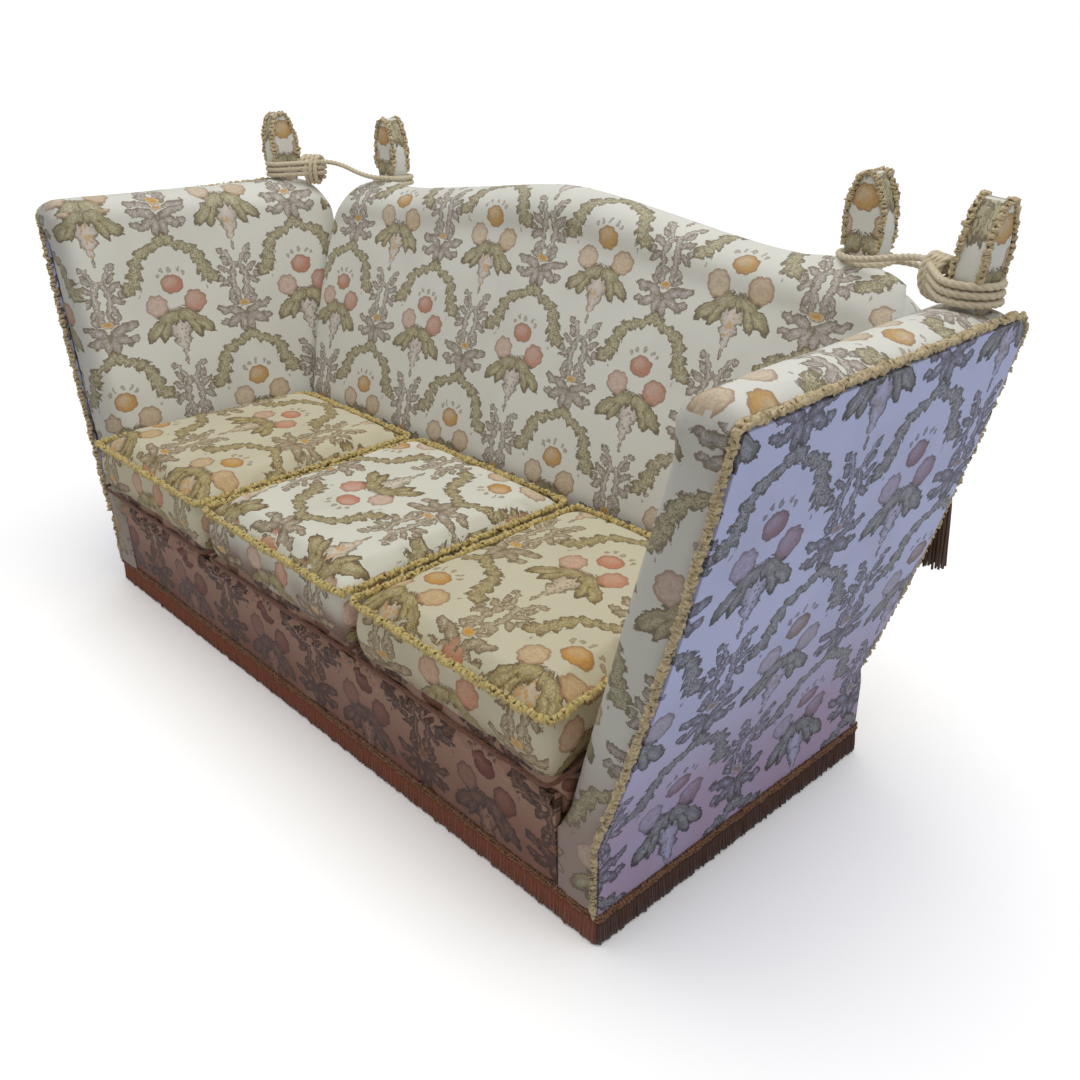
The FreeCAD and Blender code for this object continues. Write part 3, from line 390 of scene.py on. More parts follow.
    bright = sheet.blend(odd, d.coral, d.ochre)
    middling = sheet.blend(odd, mixed(d.coral, d.ground, 0.14), mixed(d.ochre, d.ground, 0.42))
    pale = sheet.blend(odd, mixed(d.coral, d.ground, 0.5), mixed(d.ochre, d.ground, 0.55))
    rim = mixed(d.outline, d.coral, 0.3)
    flowers = ((0, 303, 30, 25, bright), (52, 254, 31, 29, middling), (-50, 253, 29, 29, pale))
    fx = x - (push_x - 0.5) * 14.0
    fy = y - (push_y - 0.5) * 14.0
    for cx, cy, wide, high, tint in flowers:
        around = (fx - cx).maths("ARCTAN2", fy - cy)
        petals = abs((around * 4.0).maths("SINE")) * 0.1 + 0.92
        edge = oval(fx, fy, cx, cy, wide, high) / petals + ragged * 0.4
        lines = (edge * 11.0 + (around * 5.0).maths("SINE") * 1.2).maths("SINE").rises(0.35, 0.95)
        lit = oval(fx, fy, cx - 6, cy + 7, wide, high).rises(0.9, 0.2)
        body = sheet.blend(lit * 0.6, tint, pale)
        body = sheet.blend(lines.most(contour) * 0.28, body, rim)
        body = sheet.blend(edge.rises(0.74, 0.98) * 0.75, body, rim)
        cloth = sheet.blend(edge.rises(1.04, 0.96) * 0.95, cloth, body)
    edge = oval(x, low, 0, -43, 18, 10) / (abs((x / 6.0).maths("SINE")) * 0.2 + 0.85) + ragged * 0.7
    bud = sheet.blend(edge.rises(0.35, 0.8), d.ochre, mixed(d.ochre, d.ground, 0.45))
    bud = sheet.blend(edge.rises(0.72, 0.95) * 0.7, bud, d.outline)
    cloth = sheet.blend(edge.rises(1.04, 0.96), cloth, bud)

    threads = sheet.add(
        "ShaderNodeTexWave",
        {"wave_type": "BANDS", "bands_direction": "Y"},
        {"Vector": weave, "Scale": 420.0, "Distortion": 1.2, "Detail": 1.0},
        "Fac",
    )
    # Painted shade: the piece's front, near FRONT_Y, is darkened towards a dark taupe as if it lay in shadow
    front = sheet.parts(place)[1].rises(FRONT_Y + 0.075, FRONT_Y + 0.03)
    cloth = sheet.blend(front * shade, cloth, tone(70, 58, 38))
    raised = own.least(near).least(fan).rises(1.1, 0.8)
    relief = threads * 0.25 + fine * 0.5 + raised * 0.8
    values = {"Base Color": cloth, "Roughness": 0.66 - raised * 0.14, "Sheen Weight": 0.12, "Sheen Roughness": 0.4}
    return sheet.finish(values, relief, 0.35, 0.0012)


def yarn(name, dark, light, scale=260.0, side=None):
    """Matt twisted yarn, with painted shade in its hollows."""
    sheet = Sheet(name)
    place = sheet.place()
    strand = sheet.noise(place, scale, 3.0, 0.65)
    patch = sheet.noise(place, 14.0, 2.0, 0.5)
    # Painted shade: the strand noise runs from the dark colour, which stands in for shade in the hollows, to the light
    # one
    fill = sheet.blend(strand.rises(0.3, 0.72), dark, light)
    fill = sheet.blend(patch.rises(0.4, 0.75) * 0.5, fill, mixed(light, dark, 0.55))
    # Painted shade: a given side colour darkens the yarn at the sofa's sides, past |x| 0.893
    if side is not None:
        x, _, _ = sheet.parts(place)
        fill = sheet.blend(abs(x).rises(0.893, 0.9), fill, side)
    values = {"Base Color": fill, "Roughness": 0.82, "Sheen Weight": 0.2}
    return sheet.finish(values, strand, 0.6, 0.0015)


def timber(name, dark, light, along):
    sheet = Sheet(name)
    place = sheet.place()
    grain_space = sheet.add("ShaderNodeMapping", {}, {"Vector": place, "Scale": along})
    grain = sheet.noise(grain_space, 9.0, 5.0, 0.62)
    pores = sheet.noise(grain_space, 70.0, 2.0, 0.5)
    fill = sheet.blend(grain.rises(0.32, 0.68), dark, light)
    fill = sheet.blend(pores.rises(0.62, 0.8) * 0.5, fill, mixed(dark, (0.02, 0.01, 0.005, 1), 0.4))
    return sheet.finish({"Base Color": fill, "Roughness": 0.5 + pores * 0.2}, grain, 0.2, 0.001)


def steel(name):
    sheet = Sheet(name)
    place = sheet.place()
    scratch = sheet.noise(place, 180.0, 3.0, 0.6)
    fill = sheet.blend(scratch, tone(120, 118, 112), tone(168, 165, 158))
    return sheet.finish({"Base Color": fill, "Metallic": 1.0, "Roughness": 0.3 + scratch * 0.25}, scratch, 0.1, 0.0005)


# Modelling helpers
def capped(share):
    """A share that stays between 0 and 1."""
    return np.clip(share, 0, 1)


def only(piece):
    bpy.ops.object.select_all(action="DESELECT")
    piece.select_set(True)
    bpy.context.view_layer.objects.active = piece


def settle(piece, kind, **settings):
    """Add a modifier to a piece and apply it."""
    only(piece)
    modifier = piece.modifiers.new(kind.title(), kind)
    for key, setting in settings.items():
        setattr(modifier, key, setting)
    bpy.ops.object.modifier_apply(modifier=modifier.name)


def edit(piece, operator, **settings):
    """Use one mesh operator on the whole of a piece."""
    only(piece)
    bpy.ops.object.mode_set(mode="EDIT")
    bpy.ops.mesh.select_all(action="SELECT")
    operator(**settings)
    bpy.ops.object.mode_set(mode="OBJECT")


def joined(name, main, others):
    """One piece, made of a main piece and others."""
    only(main)
    for piece in others:
        piece.select_set(True)
    bpy.ops.object.join()
    main.name = name
    return main


def straight_yarn(sides, radius, height, cuts):
    """An upright yarn at the origin, cut across so that it can bend."""
    bpy.ops.mesh.primitive_cylinder_add(vertices=sides, radius=radius, depth=height, location=(0, 0, 0))
    strand = bpy.context.active_object
    edit(strand, bpy.ops.mesh.subdivide, number_cuts=cuts)
    return strand


def rounded(corners, level, reaches):
    """Control points round a closed line at one level, close together at each corner."""
    points = []
    for number, corner in enumerate(corners):
        here = Vector((*corner, level))
        for step in (-1, 1):
            other = corners[(number + step) % len(corners)]
            way = (Vector((*other, level)) - here).normalized()
            near = [here + way * reach for reach in reaches]
            points += near if step < 0 else near[::-1]
    return points


def smooth(piece, angle=None):
    only(piece)
    if angle is None:
        bpy.ops.object.shade_smooth()
    else:
        bpy.ops.object.shade_smooth_by_angle(angle=math.radians(angle))


def dress(piece, material, body=None, nodes=()):
    piece.data.materials.clear()
    piece.data.materials.append(material)
    if body:
        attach(piece, body)
    if nodes:
        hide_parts(*nodes)
    return piece


def points_of(piece):
    co = np.empty(len(piece.data.vertices) * 3)
    piece.data.vertices.foreach_get("co", co)
    return co.reshape(-1, 3)


def set_points(piece, co):
    piece.data.vertices.foreach_set("co", np.ascontiguousarray(co, float).ravel())
    piece.data.update()


def soft_copy(name, node, voxel, rounds):
    """A padded piece that starts from its CAD solid, rounded off all over."""
    piece = bpy.data.objects.new(name, frame["nodes"][node].data.copy())
    bpy.context.scene.collection.objects.link(piece)
    edit(piece, bpy.ops.mesh.remove_doubles, threshold=0.00002)
    settle(piece, "REMESH", mode="VOXEL", voxel_size=voxel)
    settle(piece, "SMOOTH", factor=0.5, iterations=rounds)
    return piece


def ripple(co, scale, seed):
    """Smooth even noise between about -1 and 1, the same on each run."""
    total = np.zeros(len(co))
    maker = np.random.default_rng(seed)
    for _ in range(7):
        way = maker.normal(size=3)
        way *= scale * (0.6 + maker.random()) / np.linalg.norm(way)
        total += np.sin(co @ way + maker.random() * 2 * math.pi)
    return total / 3.5


def rumple(piece, amount, scale, seed):
    """Move a soft surface in and out a little along its normals."""
    co = points_of(piece)
    normals = np.empty(len(co) * 3)
    piece.data.vertices.foreach_get("normal", normals)
    set_points(piece, co + normals.reshape(-1, 3) * (amount * ripple(co, scale, seed))[:, None])


def lay_pattern(piece, rule):
    """Give a piece its pattern map, in metres, from each corner's place and its face's normal."""
    mesh = piece.data
    corner = np.empty(len(mesh.loops), int)
    mesh.loops.foreach_get("vertex_index", corner)
    counts = np.empty(len(mesh.polygons), int)
    mesh.polygons.foreach_get("loop_total", counts)
    normals = np.empty(len(mesh.polygons) * 3)
    mesh.polygons.foreach_get("normal", normals)
    normals = np.repeat(normals.reshape(-1, 3), counts, axis=0)
    co = points_of(piece)[corner]
    u, v = rule(co, normals)
    layer = mesh.uv_layers.get("pattern") or mesh.uv_layers.new(name="pattern")
    layer.data.foreach_set("uv", np.stack([u, v], 1).astype(np.float32).ravel())
    mesh.uv_layers.active = layer


def swell(piece, pressure, cap, sideways):
    """Fill a cover as cloth under air pressure, and keep each point within a cap of where it began."""
    before = points_of(piece)
    only(piece)
    cloth = piece.modifiers.new("Cloth", "CLOTH")
    cloth.settings.use_pressure = True
    cloth.settings.uniform_pressure_force = pressure
    cloth.settings.quality = 4
    cloth.settings.mass = 0.3
    cloth.settings.tension_stiffness = 12
    cloth.settings.compression_stiffness = 12
    cloth.settings.bending_stiffness = 0.6
    cloth.settings.effector_weights.gravity = 0
    cloth.collision_settings.use_collision = False
    scene = bpy.context.scene
    for number in range(1, 21):
        scene.frame_set(number)
    bpy.ops.object.modifier_apply(modifier=cloth.name)
    scene.frame_set(1)
    moved = points_of(piece) - before
    moved[:, :2] *= sideways
    far = np.linalg.norm(moved, axis=1, keepdims=True)
    set_points(piece, before + moved * np.minimum(1.0, cap / np.maximum(far, 1e-9)))


def surface(name, columns, rows, place, thickness):
    """A sheet from a plane grid whose points are put in place by a rule of two shares, then given thickness."""
    bpy.ops.object.select_all(action="DESELECT")
    bpy.ops.mesh.primitive_grid_add(x_subdivisions=columns, y_subdivisions=rows, size=2)
    piece = bpy.context.active_object
    piece.name = name
    flat = points_of(piece)
    set_points(piece, place((flat[:, 0] + 1) / 2, (flat[:, 1] + 1) / 2))
    settle(piece, "SOLIDIFY", thickness=thickness, offset=-1.0)
    return piece


def route(name, points, closed=False):
    """A smooth curve through space with the points as its control points."""
    data = bpy.data.curves.new(name, "CURVE")
    data.dimensions = "3D"
    data.twist_mode = "Z_UP"
    spline = data.splines.new("NURBS")
    spline.points.add(len(points) - 1)
    for point, co in zip(spline.points, points):
        point.co = (*co, 1.0)
    spline.order_u = 3
    spline.use_endpoint_u = not closed
    spline.use_cyclic_u = closed
    spline.resolution_u = 16
    curve = bpy.data.objects.new(name, data)
    bpy.context.scene.collection.objects.link(curve)
    return curve


def line_of(curve):
    """Points along a curve, as Blender draws it."""
    bpy.context.view_layer.update()
    mesh = bpy.data.meshes.new_from_object(curve)
    co = np.array([vertex.co for vertex in mesh.vertices])
    bpy.data.meshes.remove(mesh)
    return co


def run_length(co):
    return np.concatenate([[0], np.cumsum(np.linalg.norm(np.diff(co, axis=0), axis=1))])


def along(curve, unit, step, closed):
    """Copies of a unit, in a row along X, laid along a curve."""
    path = line_of(curve)
    total = run_length(np.vstack([path, path[:1]]) if closed else path)[-1]
    count = max(2, round(total / step))
    settle(
        unit,
        "ARRAY",
        fit_type="FIXED_COUNT",
        count=count,
        use_relative_offset=False,
        use_constant_offset=True,
        constant_offset_displace=(total / count, 0, 0),
    )
    settle(unit, "CURVE", object=curve, deform_axis="POS_X")
    bpy.data.objects.remove(curve)
    return unit


def looped_trim(name, points, radius, closed=False):
    """Looped trim: small rings of yarn sewn side by side along an edge, tilted to and fro."""
    step = radius * 0.72
    rings = []
    for number, (tilt, roll) in enumerate(((0.55, 0.25), (-0.45, -0.3))):
        bpy.ops.mesh.primitive_torus_add(
            location=(step * number, 0, 0),
            rotation=(roll, math.pi / 2 + tilt, roll),
            major_segments=9,
            minor_segments=4,
            major_radius=radius * 0.56,
            minor_radius=radius * 0.44,
        )
        bpy.ops.object.transform_apply(location=True, rotation=True, scale=True)
        rings.append(bpy.context.active_object)
    unit = joined(name, rings[1], rings[:1])
    piece = along(route(name + "_line", points, closed), unit, step * 2, closed)
    co = points_of(piece)
    loose = np.stack([ripple(co, 900, 3 + k) + 0.8 * ripple(co, 260, 9 + k) for k in range(3)], 1)
    set_points(piece, co + radius * 0.36 * loose)
    smooth(piece)
    return piece


# The arms' and the back's own lines, as in the CAD model
def share_up(z):
    return (np.minimum(z, ARM_TOP) - HINGE_Z) / (ARM_TOP - HINGE_Z)


def outer_x(z):
    share = share_up(z)
    return BASE_HALF + ARM_FLARE * share + ARM_BULGE * share * (1 - share)


def inner_x(z, y):
    return INNER_FOOT + INNER_FLARE * share_up(z) - INNER_TAPER * (y - FRONT_Y) / ARM_DEPTH


def raked(y, z):
    return y + ARM_RAKE * (z - HINGE_Z)


def unraked(y, z):
    return y - ARM_RAKE * (z - HINGE_Z)


def rear_y(z):
    return REAR_Y + np.maximum(0, z - REAR_BEND) * REAR_LEAN


def camel_height(x):
    """The back's top line: up from the shoulders to a crown in two equal arcs."""
    away = np.abs(x)
    shoulder = 2 * CAMEL_HALF
    radius = (CAMEL_HALF**2 + CAMEL_RISE**2) / (2 * CAMEL_RISE)
    crown = CROWN_TOP - radius + np.sqrt(np.maximum(radius**2 - away**2, 0))
    inwards = np.clip(shoulder - away, 0, CAMEL_HALF)
    foot = SHOULDER_TOP + radius - np.sqrt(np.maximum(radius**2 - inwards**2, 0))
    end = SHOULDER_TOP - 0.016 * (away - shoulder) / 0.26
    return np.where(away <= CAMEL_HALF, crown, np.where(away <= shoulder, foot, end))


# Cords
ARM_EAR = Vector((1.020, 0.2825, 0.9603))
BACK_EAR = Vector((0.735, 0.4443, 0.9519))
CORD_LIFT = 0.0108
CORD_PITCH = 0.0142
CORD_TURNS = 1.375
COIL_RADIUS = 0.0512
IN_TASSEL = 0.08
EAR_LEAN = math.radians(6)
ROPE_STEP = 0.0032
ROPE_SIDES = 18
ROPE_LAY = 6.4


def rope(name, points, material):
    """A cord of three strands laid round each other along a smooth route."""
    curve = route(name + "_route", points)
    drawn = line_of(curve)
    bpy.data.objects.remove(curve)
    run = run_length(drawn)
    count = max(12, round(run[-1] / ROPE_STEP))
    path = np.stack([np.interp(np.linspace(0, run[-1], count), run, drawn[:, k]) for k in range(3)], 1)
    heading = np.gradient(path, axis=0)
    heading /= np.linalg.norm(heading, axis=1, keepdims=True)
    normal = np.cross(heading[0], (0.0, 0.0, 1.0) if abs(heading[0][2]) < 0.9 else (1.0, 0.0, 0.0))
    radius = sizes().rope / 2
    sides = ROPE_SIDES
    angles = np.arange(sides) * 2 * math.pi / sides
    lobes = 0.74 + 0.26 * np.abs(np.cos(1.5 * angles)) ** 0.8
    rings = []
    for number in range(count):
        normal = normal - heading[number] * (normal @ heading[number])
        normal /= np.linalg.norm(normal)
        side = np.cross(heading[number], normal)
        turn = angles + number * (run[-1] / (count - 1)) * 2 * math.pi / (radius * ROPE_LAY)
        ring = np.cos(turn)[:, None] * normal + np.sin(turn)[:, None] * side
        rings.append(path[number] + ring * (radius * lobes)[:, None])
    faces = []
    for ring in range(count - 1):
        for number in range(sides):
            after = (number + 1) % sides
            a, b = ring * sides + number, ring * sides + after
            faces.append((a, b, b + sides, a + sides))
    faces.append(tuple(range(sides - 1, -1, -1)))
    faces.append(tuple((count - 1) * sides + number for number in range(sides)))
    mesh = bpy.data.meshes.new(name)
    mesh.from_pydata([tuple(p) for p in np.vstack(rings)], [], faces)
    piece = bpy.data.objects.new(name, mesh)
    bpy.context.scene.collection.objects.link(piece)
    smooth(piece)
    dress(piece, material)
    return piece, path


def rope_points(side):
    """Control points of the four stretches of one cord: loops, span, knot and tail."""
    def placed(points):
        return [Vector((side * p.x, p.y, p.z)) for p in points]

    ahead = Vector((BACK_EAR.x - ARM_EAR.x, BACK_EAR.y - ARM_EAR.y, 0)).normalized()
    aside = Vector((-ahead.y, ahead.x, 0))
    lift = Vector((0, 0, CORD_LIFT))
    ear_radius, end_radius, reach = 0.049, 0.0088, 0.112
    touch = math.acos((ear_radius - end_radius) / reach)
    straight = reach * math.sin(touch)
    round_ear = 2 * ear_radius * (math.pi - touch)
    round_end = 2 * end_radius * touch
    turn = 2 * straight + round_ear + round_end

    def at(away, radius, angle, run):
        flat = ahead * (away + radius * math.cos(angle)) + aside * (radius * math.sin(angle))
        return ARM_EAR + lift + flat + Vector((0, 0, CORD_PITCH * run / turn))

    loops = []
    for number in range(3):
        run = number * turn
        if number == 0:
            loops.append(at(reach, end_radius, -touch, run))
        for step in range(8):
            share = step / 7
            angle = -touch - share * (2 * math.pi - 2 * touch)
            loops.append(at(0, ear_radius * 1.03, angle, run + straight + share * round_ear))
        if number < 2:
            for step in range(5):
                share = step / 4
                angle = touch - share * 2 * touch
                loops.append(at(reach, end_radius * 1.04, angle, run + 2 * straight + round_ear + share * round_end))
        else:
            loops.append(at(reach, end_radius, touch, run + 2 * straight + round_ear))
    leave = (loops[-1] - loops[-2]).normalized()

    coil = []
    first = math.atan2(ahead.y, ahead.x) + math.pi / 2
    top = BACK_EAR + lift + Vector((0, 0, CORD_PITCH * CORD_TURNS))
    steps = 17
    for step in range(steps):
        share = step / (steps - 1)
        angle = first - share * CORD_TURNS * 2 * math.pi
        flat = Vector((math.cos(angle), math.sin(angle), 0)) * COIL_RADIUS
        coil.append(top + flat - Vector((0, 0, CORD_PITCH * CORD_TURNS * share)))
    before = coil[0] - (coil[1] - coil[0]).normalized() * 0.013
    start = loops[-1] + leave * 0.0003
    span = [start, start + leave * 0.04, before - ahead * 0.04, before]
    last_angle = first - CORD_TURNS * 2 * math.pi
    exit_way = Vector((math.sin(last_angle), -math.cos(last_angle), 0))
    tail = [before] + coil + [coil[-1] + exit_way * 0.083]
    hang = ((55, -6, -16), (46, -12, -34), (28, -12, -48), (11, -8, -56), (0, 0, -205), (0, 0, -1000 * IN_TASSEL))
    for x, y, z in hang:
        tail.append(tail[-1] + Vector((x, y, z)) / 1000)
    knot = []
    for step in range(43):
        angle = step * 2 * math.pi / 12
        out = aside * (0.0245 * math.cos(angle)) + Vector((0, 0, 0.0355 * math.sin(angle)))
        level = lift + Vector((0, 0, CORD_PITCH * 1.45))
        knot.append(ARM_EAR + level + ahead * (0.062 + 0.0138 * step / 12) + out)
    return placed(loops), placed(span), placed(knot), placed(tail)


class SOFA_OT_cords(bpy.types.Operator):
    """Twisted cords that tie each arm's ear to the back's ear"""

    bl_idname = "sofa.cords"
    bl_label = "Cords"

    def execute(self, context):
        cream = colours().rope_cream
        # Painted shade: the cord's dark colour, cream mixed with brown, stands in for shade in its hollows
        material = yarn("twisted_cord", mixed(cream, (0.3, 0.2, 0.08, 1), 0.4), cream, 420.0)
        for name, side in SIDES.items():
            loops, span, knot, tail = rope_points(side)
            piece, path = rope(name + "_rope_loops", loops, material)
            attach(piece, name + "_arm")
            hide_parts(name + "_arm_cord_turns")
            wrap, _ = rope(name + "_rope_knot", knot, material)
            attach(wrap, name + "_arm")
            piece, path = rope(name + "_rope_span", span, material)
            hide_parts(name + "_cord_span")
            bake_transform(piece)
            piece, path = rope(name + "_rope_tail", tail, material)
            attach(piece, "base")
            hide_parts(name + "_back_cord_turns", name + "_cord_tail")
            brush = make_tassel(name, path[-1] + (0, 0, IN_TASSEL))
        return {"FINISHED"}


def make_tassel(name, top):
    """A tassel: a bound round head over a skirt of hanging yarns."""
    brown = colours().tassel_brown
    material = bpy.data.materials.get("tassel_yarn")
    if material is None:
        # Painted shade: the near-black mix stands in for shade in the hollows of the tassel's yarns
        material = yarn("tassel_yarn", mixed(brown, (0.01, 0.006, 0.003, 1), 0.6), brown, 500.0)
    strands = []
    for ring, (count, radius, drop, spread) in enumerate(((26, 0.0085, 0.205, 0.0225), (16, 0.005, 0.198, 0.013))):
        for number in range(count):
            angle = 2 * math.pi * (number + 0.5 * ring) / count
            strand = straight_yarn(5, 0.0026, 1.0, 3)
            co = points_of(strand)
            down = 0.5 - co[:, 2]
            reach = radius + (spread - radius) * down**0.7 + 0.0015 * math.sin(number * 2.3)
            sway = angle + 0.1 * np.sin(down * 5 + number)
            z = top[2] - 0.03 - down * (drop - 0.03 - 0.004 * (number % 3))
            x = top[0] + reach * np.cos(sway) + co[:, 0]
            y = top[1] + reach * np.sin(sway) + co[:, 1]
            set_points(strand, np.stack([x, y, z], 1))
            strands.append(strand)
    bpy.ops.mesh.primitive_uv_sphere_add(segments=20, ring_count=12, radius=0.0165)
    head = bpy.context.active_object
    co = points_of(head)
    set_points(head, np.stack([co[:, 0] + top[0], co[:, 1] + top[1], co[:, 2] * 1.15 + top[2] - 0.018], 1))
    bpy.ops.mesh.primitive_torus_add(major_radius=0.0095, minor_radius=0.0035, major_segments=20, minor_segments=8)
    band = bpy.context.active_object
    co = points_of(band)
    set_points(band, co * (1, 1, 1.6) + np.array([top[0], top[1], top[2] - 0.0375]))
    tassel = joined(name + "_tassel_brush", head, strands + [band])
    bpy.ops.object.transform_apply(location=True, rotation=True, scale=True)
    smooth(tassel)
    return dress(tassel, material, "base", [name + "_tassel"])


# Covers: each one's ground low down, dark and light leaf, coral, ochre, scroll and outline, as they look on a screen,
# the heights between which its ground changes, and how far painted shade darkens its front
COVERS = {
    "inside": (
        ((174, 150, 142), (132, 122, 80), (186, 178, 138), (198, 136, 110))
        + ((204, 160, 86), (178, 166, 160), (118, 104, 80)),
        (0.2, 0.45),
        0.3,
    ),
    "seat": (
        ((190, 174, 142), (122, 106, 50), (184, 166, 106), (206, 130, 96))
        + ((206, 150, 54), (170, 150, 118), (110, 86, 46)),
        (0.3, 0.42),
        0.0,
    ),
    "middle": (
        ((112, 70, 54), (122, 106, 56), (184, 168, 112), (206, 134, 104))
        + ((206, 152, 62), (170, 150, 122), (104, 80, 46)),
        (0.345, 0.42),
        0.0,
    ),
    "side": (
        ((176, 152, 182), (84, 83, 80), (136, 138, 146), (138, 104, 122))
        + ((142, 122, 116), (116, 114, 130), (46, 43, 46)),
        (0.08, 0.6),
        0.0,
    ),
    # Painted shade in part: the border's colours are darkened for its front face, which lies in shadow below the
    # cushions; its ground also darkens towards the bottom
    "border": (
        ((116, 66, 48), (62, 30, 20), (100, 58, 44), (108, 46, 36))
        + ((120, 68, 36), (84, 50, 40), (42, 20, 14)),
        (0.07, 0.25),
        0.0,
    ),
}


def cover(kind):
    """One of the brocade materials, made on its first use."""
    name = "brocade_" + kind
    found = bpy.data.materials.get(name)
    if found:
        return found
    shades, fade, shade = COVERS[kind]
    ground = tuple(getattr(colours(), "ground_" + kind))
    return brocade(name, Dyes(ground, *[tone(*each) for each in shades]), fade, shade)


def upholster(piece, rule, kind, body=None, nodes=(), angle=None):
    """Lay the pattern on a piece and dress it in one of the covers."""
    lay_pattern(piece, rule)
    smooth(piece, angle)
    return dress(piece, cover(kind), body, nodes)


class SOFA_OT_back(bpy.types.Operator):
    """The padded back with its camel top, and the cover over its rear"""

    bl_idname = "sofa.back"
    bl_label = "Back"

    def execute(self, context):
        pad = soft_copy("back_padding", "back_pad", 0.010, 12)
        co = points_of(pad)
        below = camel_height(co[:, 0]) - co[:, 2]
        behind = REAR_Y - 0.01 + (co[:, 2] - REAR_BEND) * REAR_LEAN - co[:, 1]
        full = capped((0.12 - below) / 0.07) * capped((0.11 - behind) / 0.06)
        ends = capped((np.abs(co[:, 0]) - 0.62) / 0.08)
        co[:, 2] += full * (0.009 + 0.012 * ends)
        co[:, 1] += full * 0.007
        set_points(pad, co)
        settle(pad, "SMOOTH", factor=0.5, iterations=2)
        rumple(pad, 0.0016, 16.0, 5)

        def inside(co, n):
            heights, fronts = (0.35, 0.5, 0.65, 0.8, 0.9), (0.1535, 0.1764, 0.2283, 0.2879, 0.3273)
            face = np.interp(co[:, 2], heights, fronts)
            ends = (np.abs(n[:, 0]) > 0.55) & (n[:, 2] < 0.6)
            y = np.where(ends, face, co[:, 1])
            u = co[:, 0] + 0.012 + np.sign(co[:, 0]) * (co[:, 1] - y)
            return u, 0.9 * co[:, 2] + 0.75 * y - 0.774 + PATTERN_RISE

        upholster(pad, inside, "inside", "base", ["back_pad"])

        half, end_share, flat_share = 0.872, 0.07, 0.86

        def rear(s, t):
            edge = capped((end_share - np.minimum(s, 1 - s)) / end_share)
            s = capped((s - end_share) / (1 - 2 * end_share))
            x = half * (2 * s - 1)
            top = camel_height(x) - np.interp(np.abs(x), (0.7, 0.79, 0.85, 0.88), (0, 0.003, 0.011, 0.05))
            flat = capped(t / flat_share)
            over = capped((t - flat_share) / (1 - flat_share))
            z = COVER_LOW + (top - 0.037 - COVER_LOW) * flat
            x = x * (1 + 0.029 * capped((0.215 - z) / 0.025))
            y = rear_y(z) + 0.0005
            puff = 0.004 * np.sin(math.pi * s) ** 0.5 * np.sin(math.pi * np.minimum(flat, 0.999)) ** 0.5
            z = z + 0.036 * np.sin(over * math.pi / 2) - 0.012 * capped(over * 5 - 4)
            y = y + puff - 0.085 * over
            turned = edge * (1 - over) * capped((z - 0.235) / 0.05)
            first, second = capped(turned * 2), capped(turned * 2 - 1)
            arm_end = FRONT_Y + ARM_DEPTH
            pad_y = 0.2749 + 0.21 * (z - 0.35)
            mid_y = np.maximum(raked(arm_end, z) + 0.016, pad_y - 0.01)
            away = np.abs(x)
            away = away + (np.minimum(inner_x(z, arm_end) - 0.006, away) - away) * first - 0.004 * second
            y = y + (mid_y - y) * first + (pad_y - 0.012 - mid_y) * second
            return np.stack([-np.sign(x) * away, y, z], 1)

        def behind_back(co, n):
            ends = (np.abs(n[:, 0]) > 0.4) & (n[:, 2] < 0.6)
            depth = np.clip(rear_y(co[:, 2]) - co[:, 1], 0, 0.14) * ends
            return -co[:, 0] - np.sign(co[:, 0]) * depth, co[:, 2] * 1.01 + np.maximum(0, n[:, 2] - 0.5) * 0.1

        piece = surface("back_rear_cover", 104, 72, rear, 0.005)
        upholster(piece, behind_back, "inside", "base", ["back_outer_panel"], SHEET_ANGLE)
        return {"FINISHED"}


class SOFA_OT_arms(bpy.types.Operator):
    """The padded inner faces and top rolls of the two arms"""

    bl_idname = "sofa.arms"
    bl_label = "Arms"

    def execute(self, context):
        for name, side in SIDES.items():
            pad = soft_copy(name + "_arm_padding", name + "_arm_pad", 0.009, 6)
            co = points_of(pad)
            ahead = unraked(co[:, 1], co[:, 2]) - FRONT_Y
            cap = np.exp(-(((co[:, 2] - 0.938) / 0.036) ** 2)) * capped((0.075 - ahead) / 0.075) ** 1.5
            turn = np.arctan2(np.abs(co[:, 0]) - 1.03, co[:, 2] - 0.90)
            co[:, 1] -= cap * (0.017 + 0.0022 * np.sin(turn * 16))
            co[:, 2] += cap * 0.004
            set_points(pad, co)
            rumple(pad, 0.0016, 18.0, 7)

            def rule(co, n, side=side):
                ax = np.abs(co[:, 0])
                z = co[:, 2]
                y = unraked(co[:, 1], z)
                edge = inner_x(np.minimum(z, 0.925), np.clip(y, FRONT_Y, FRONT_Y + ARM_DEPTH))
                across = y.copy()
                front = (n[:, 1] < -0.35) & (n[:, 2] <= 0.55)
                across[front] = FRONT_Y - (ax[front] - edge[front])
                rear = n[:, 1] > 0.6
                across[rear] = FRONT_Y + ARM_DEPTH + (ax[rear] - edge[rear])
                up = z * 1.02
                over = n[:, 2] > 0.55
                up[over] = 0.944 + np.maximum(0, ax[over] - edge[over])
                return -side * (across + 0.178), up - 0.702 + PATTERN_RISE

            upholster(pad, rule, "inside", name + "_arm", [name + "_arm_pad"])
        return {"FINISHED"}


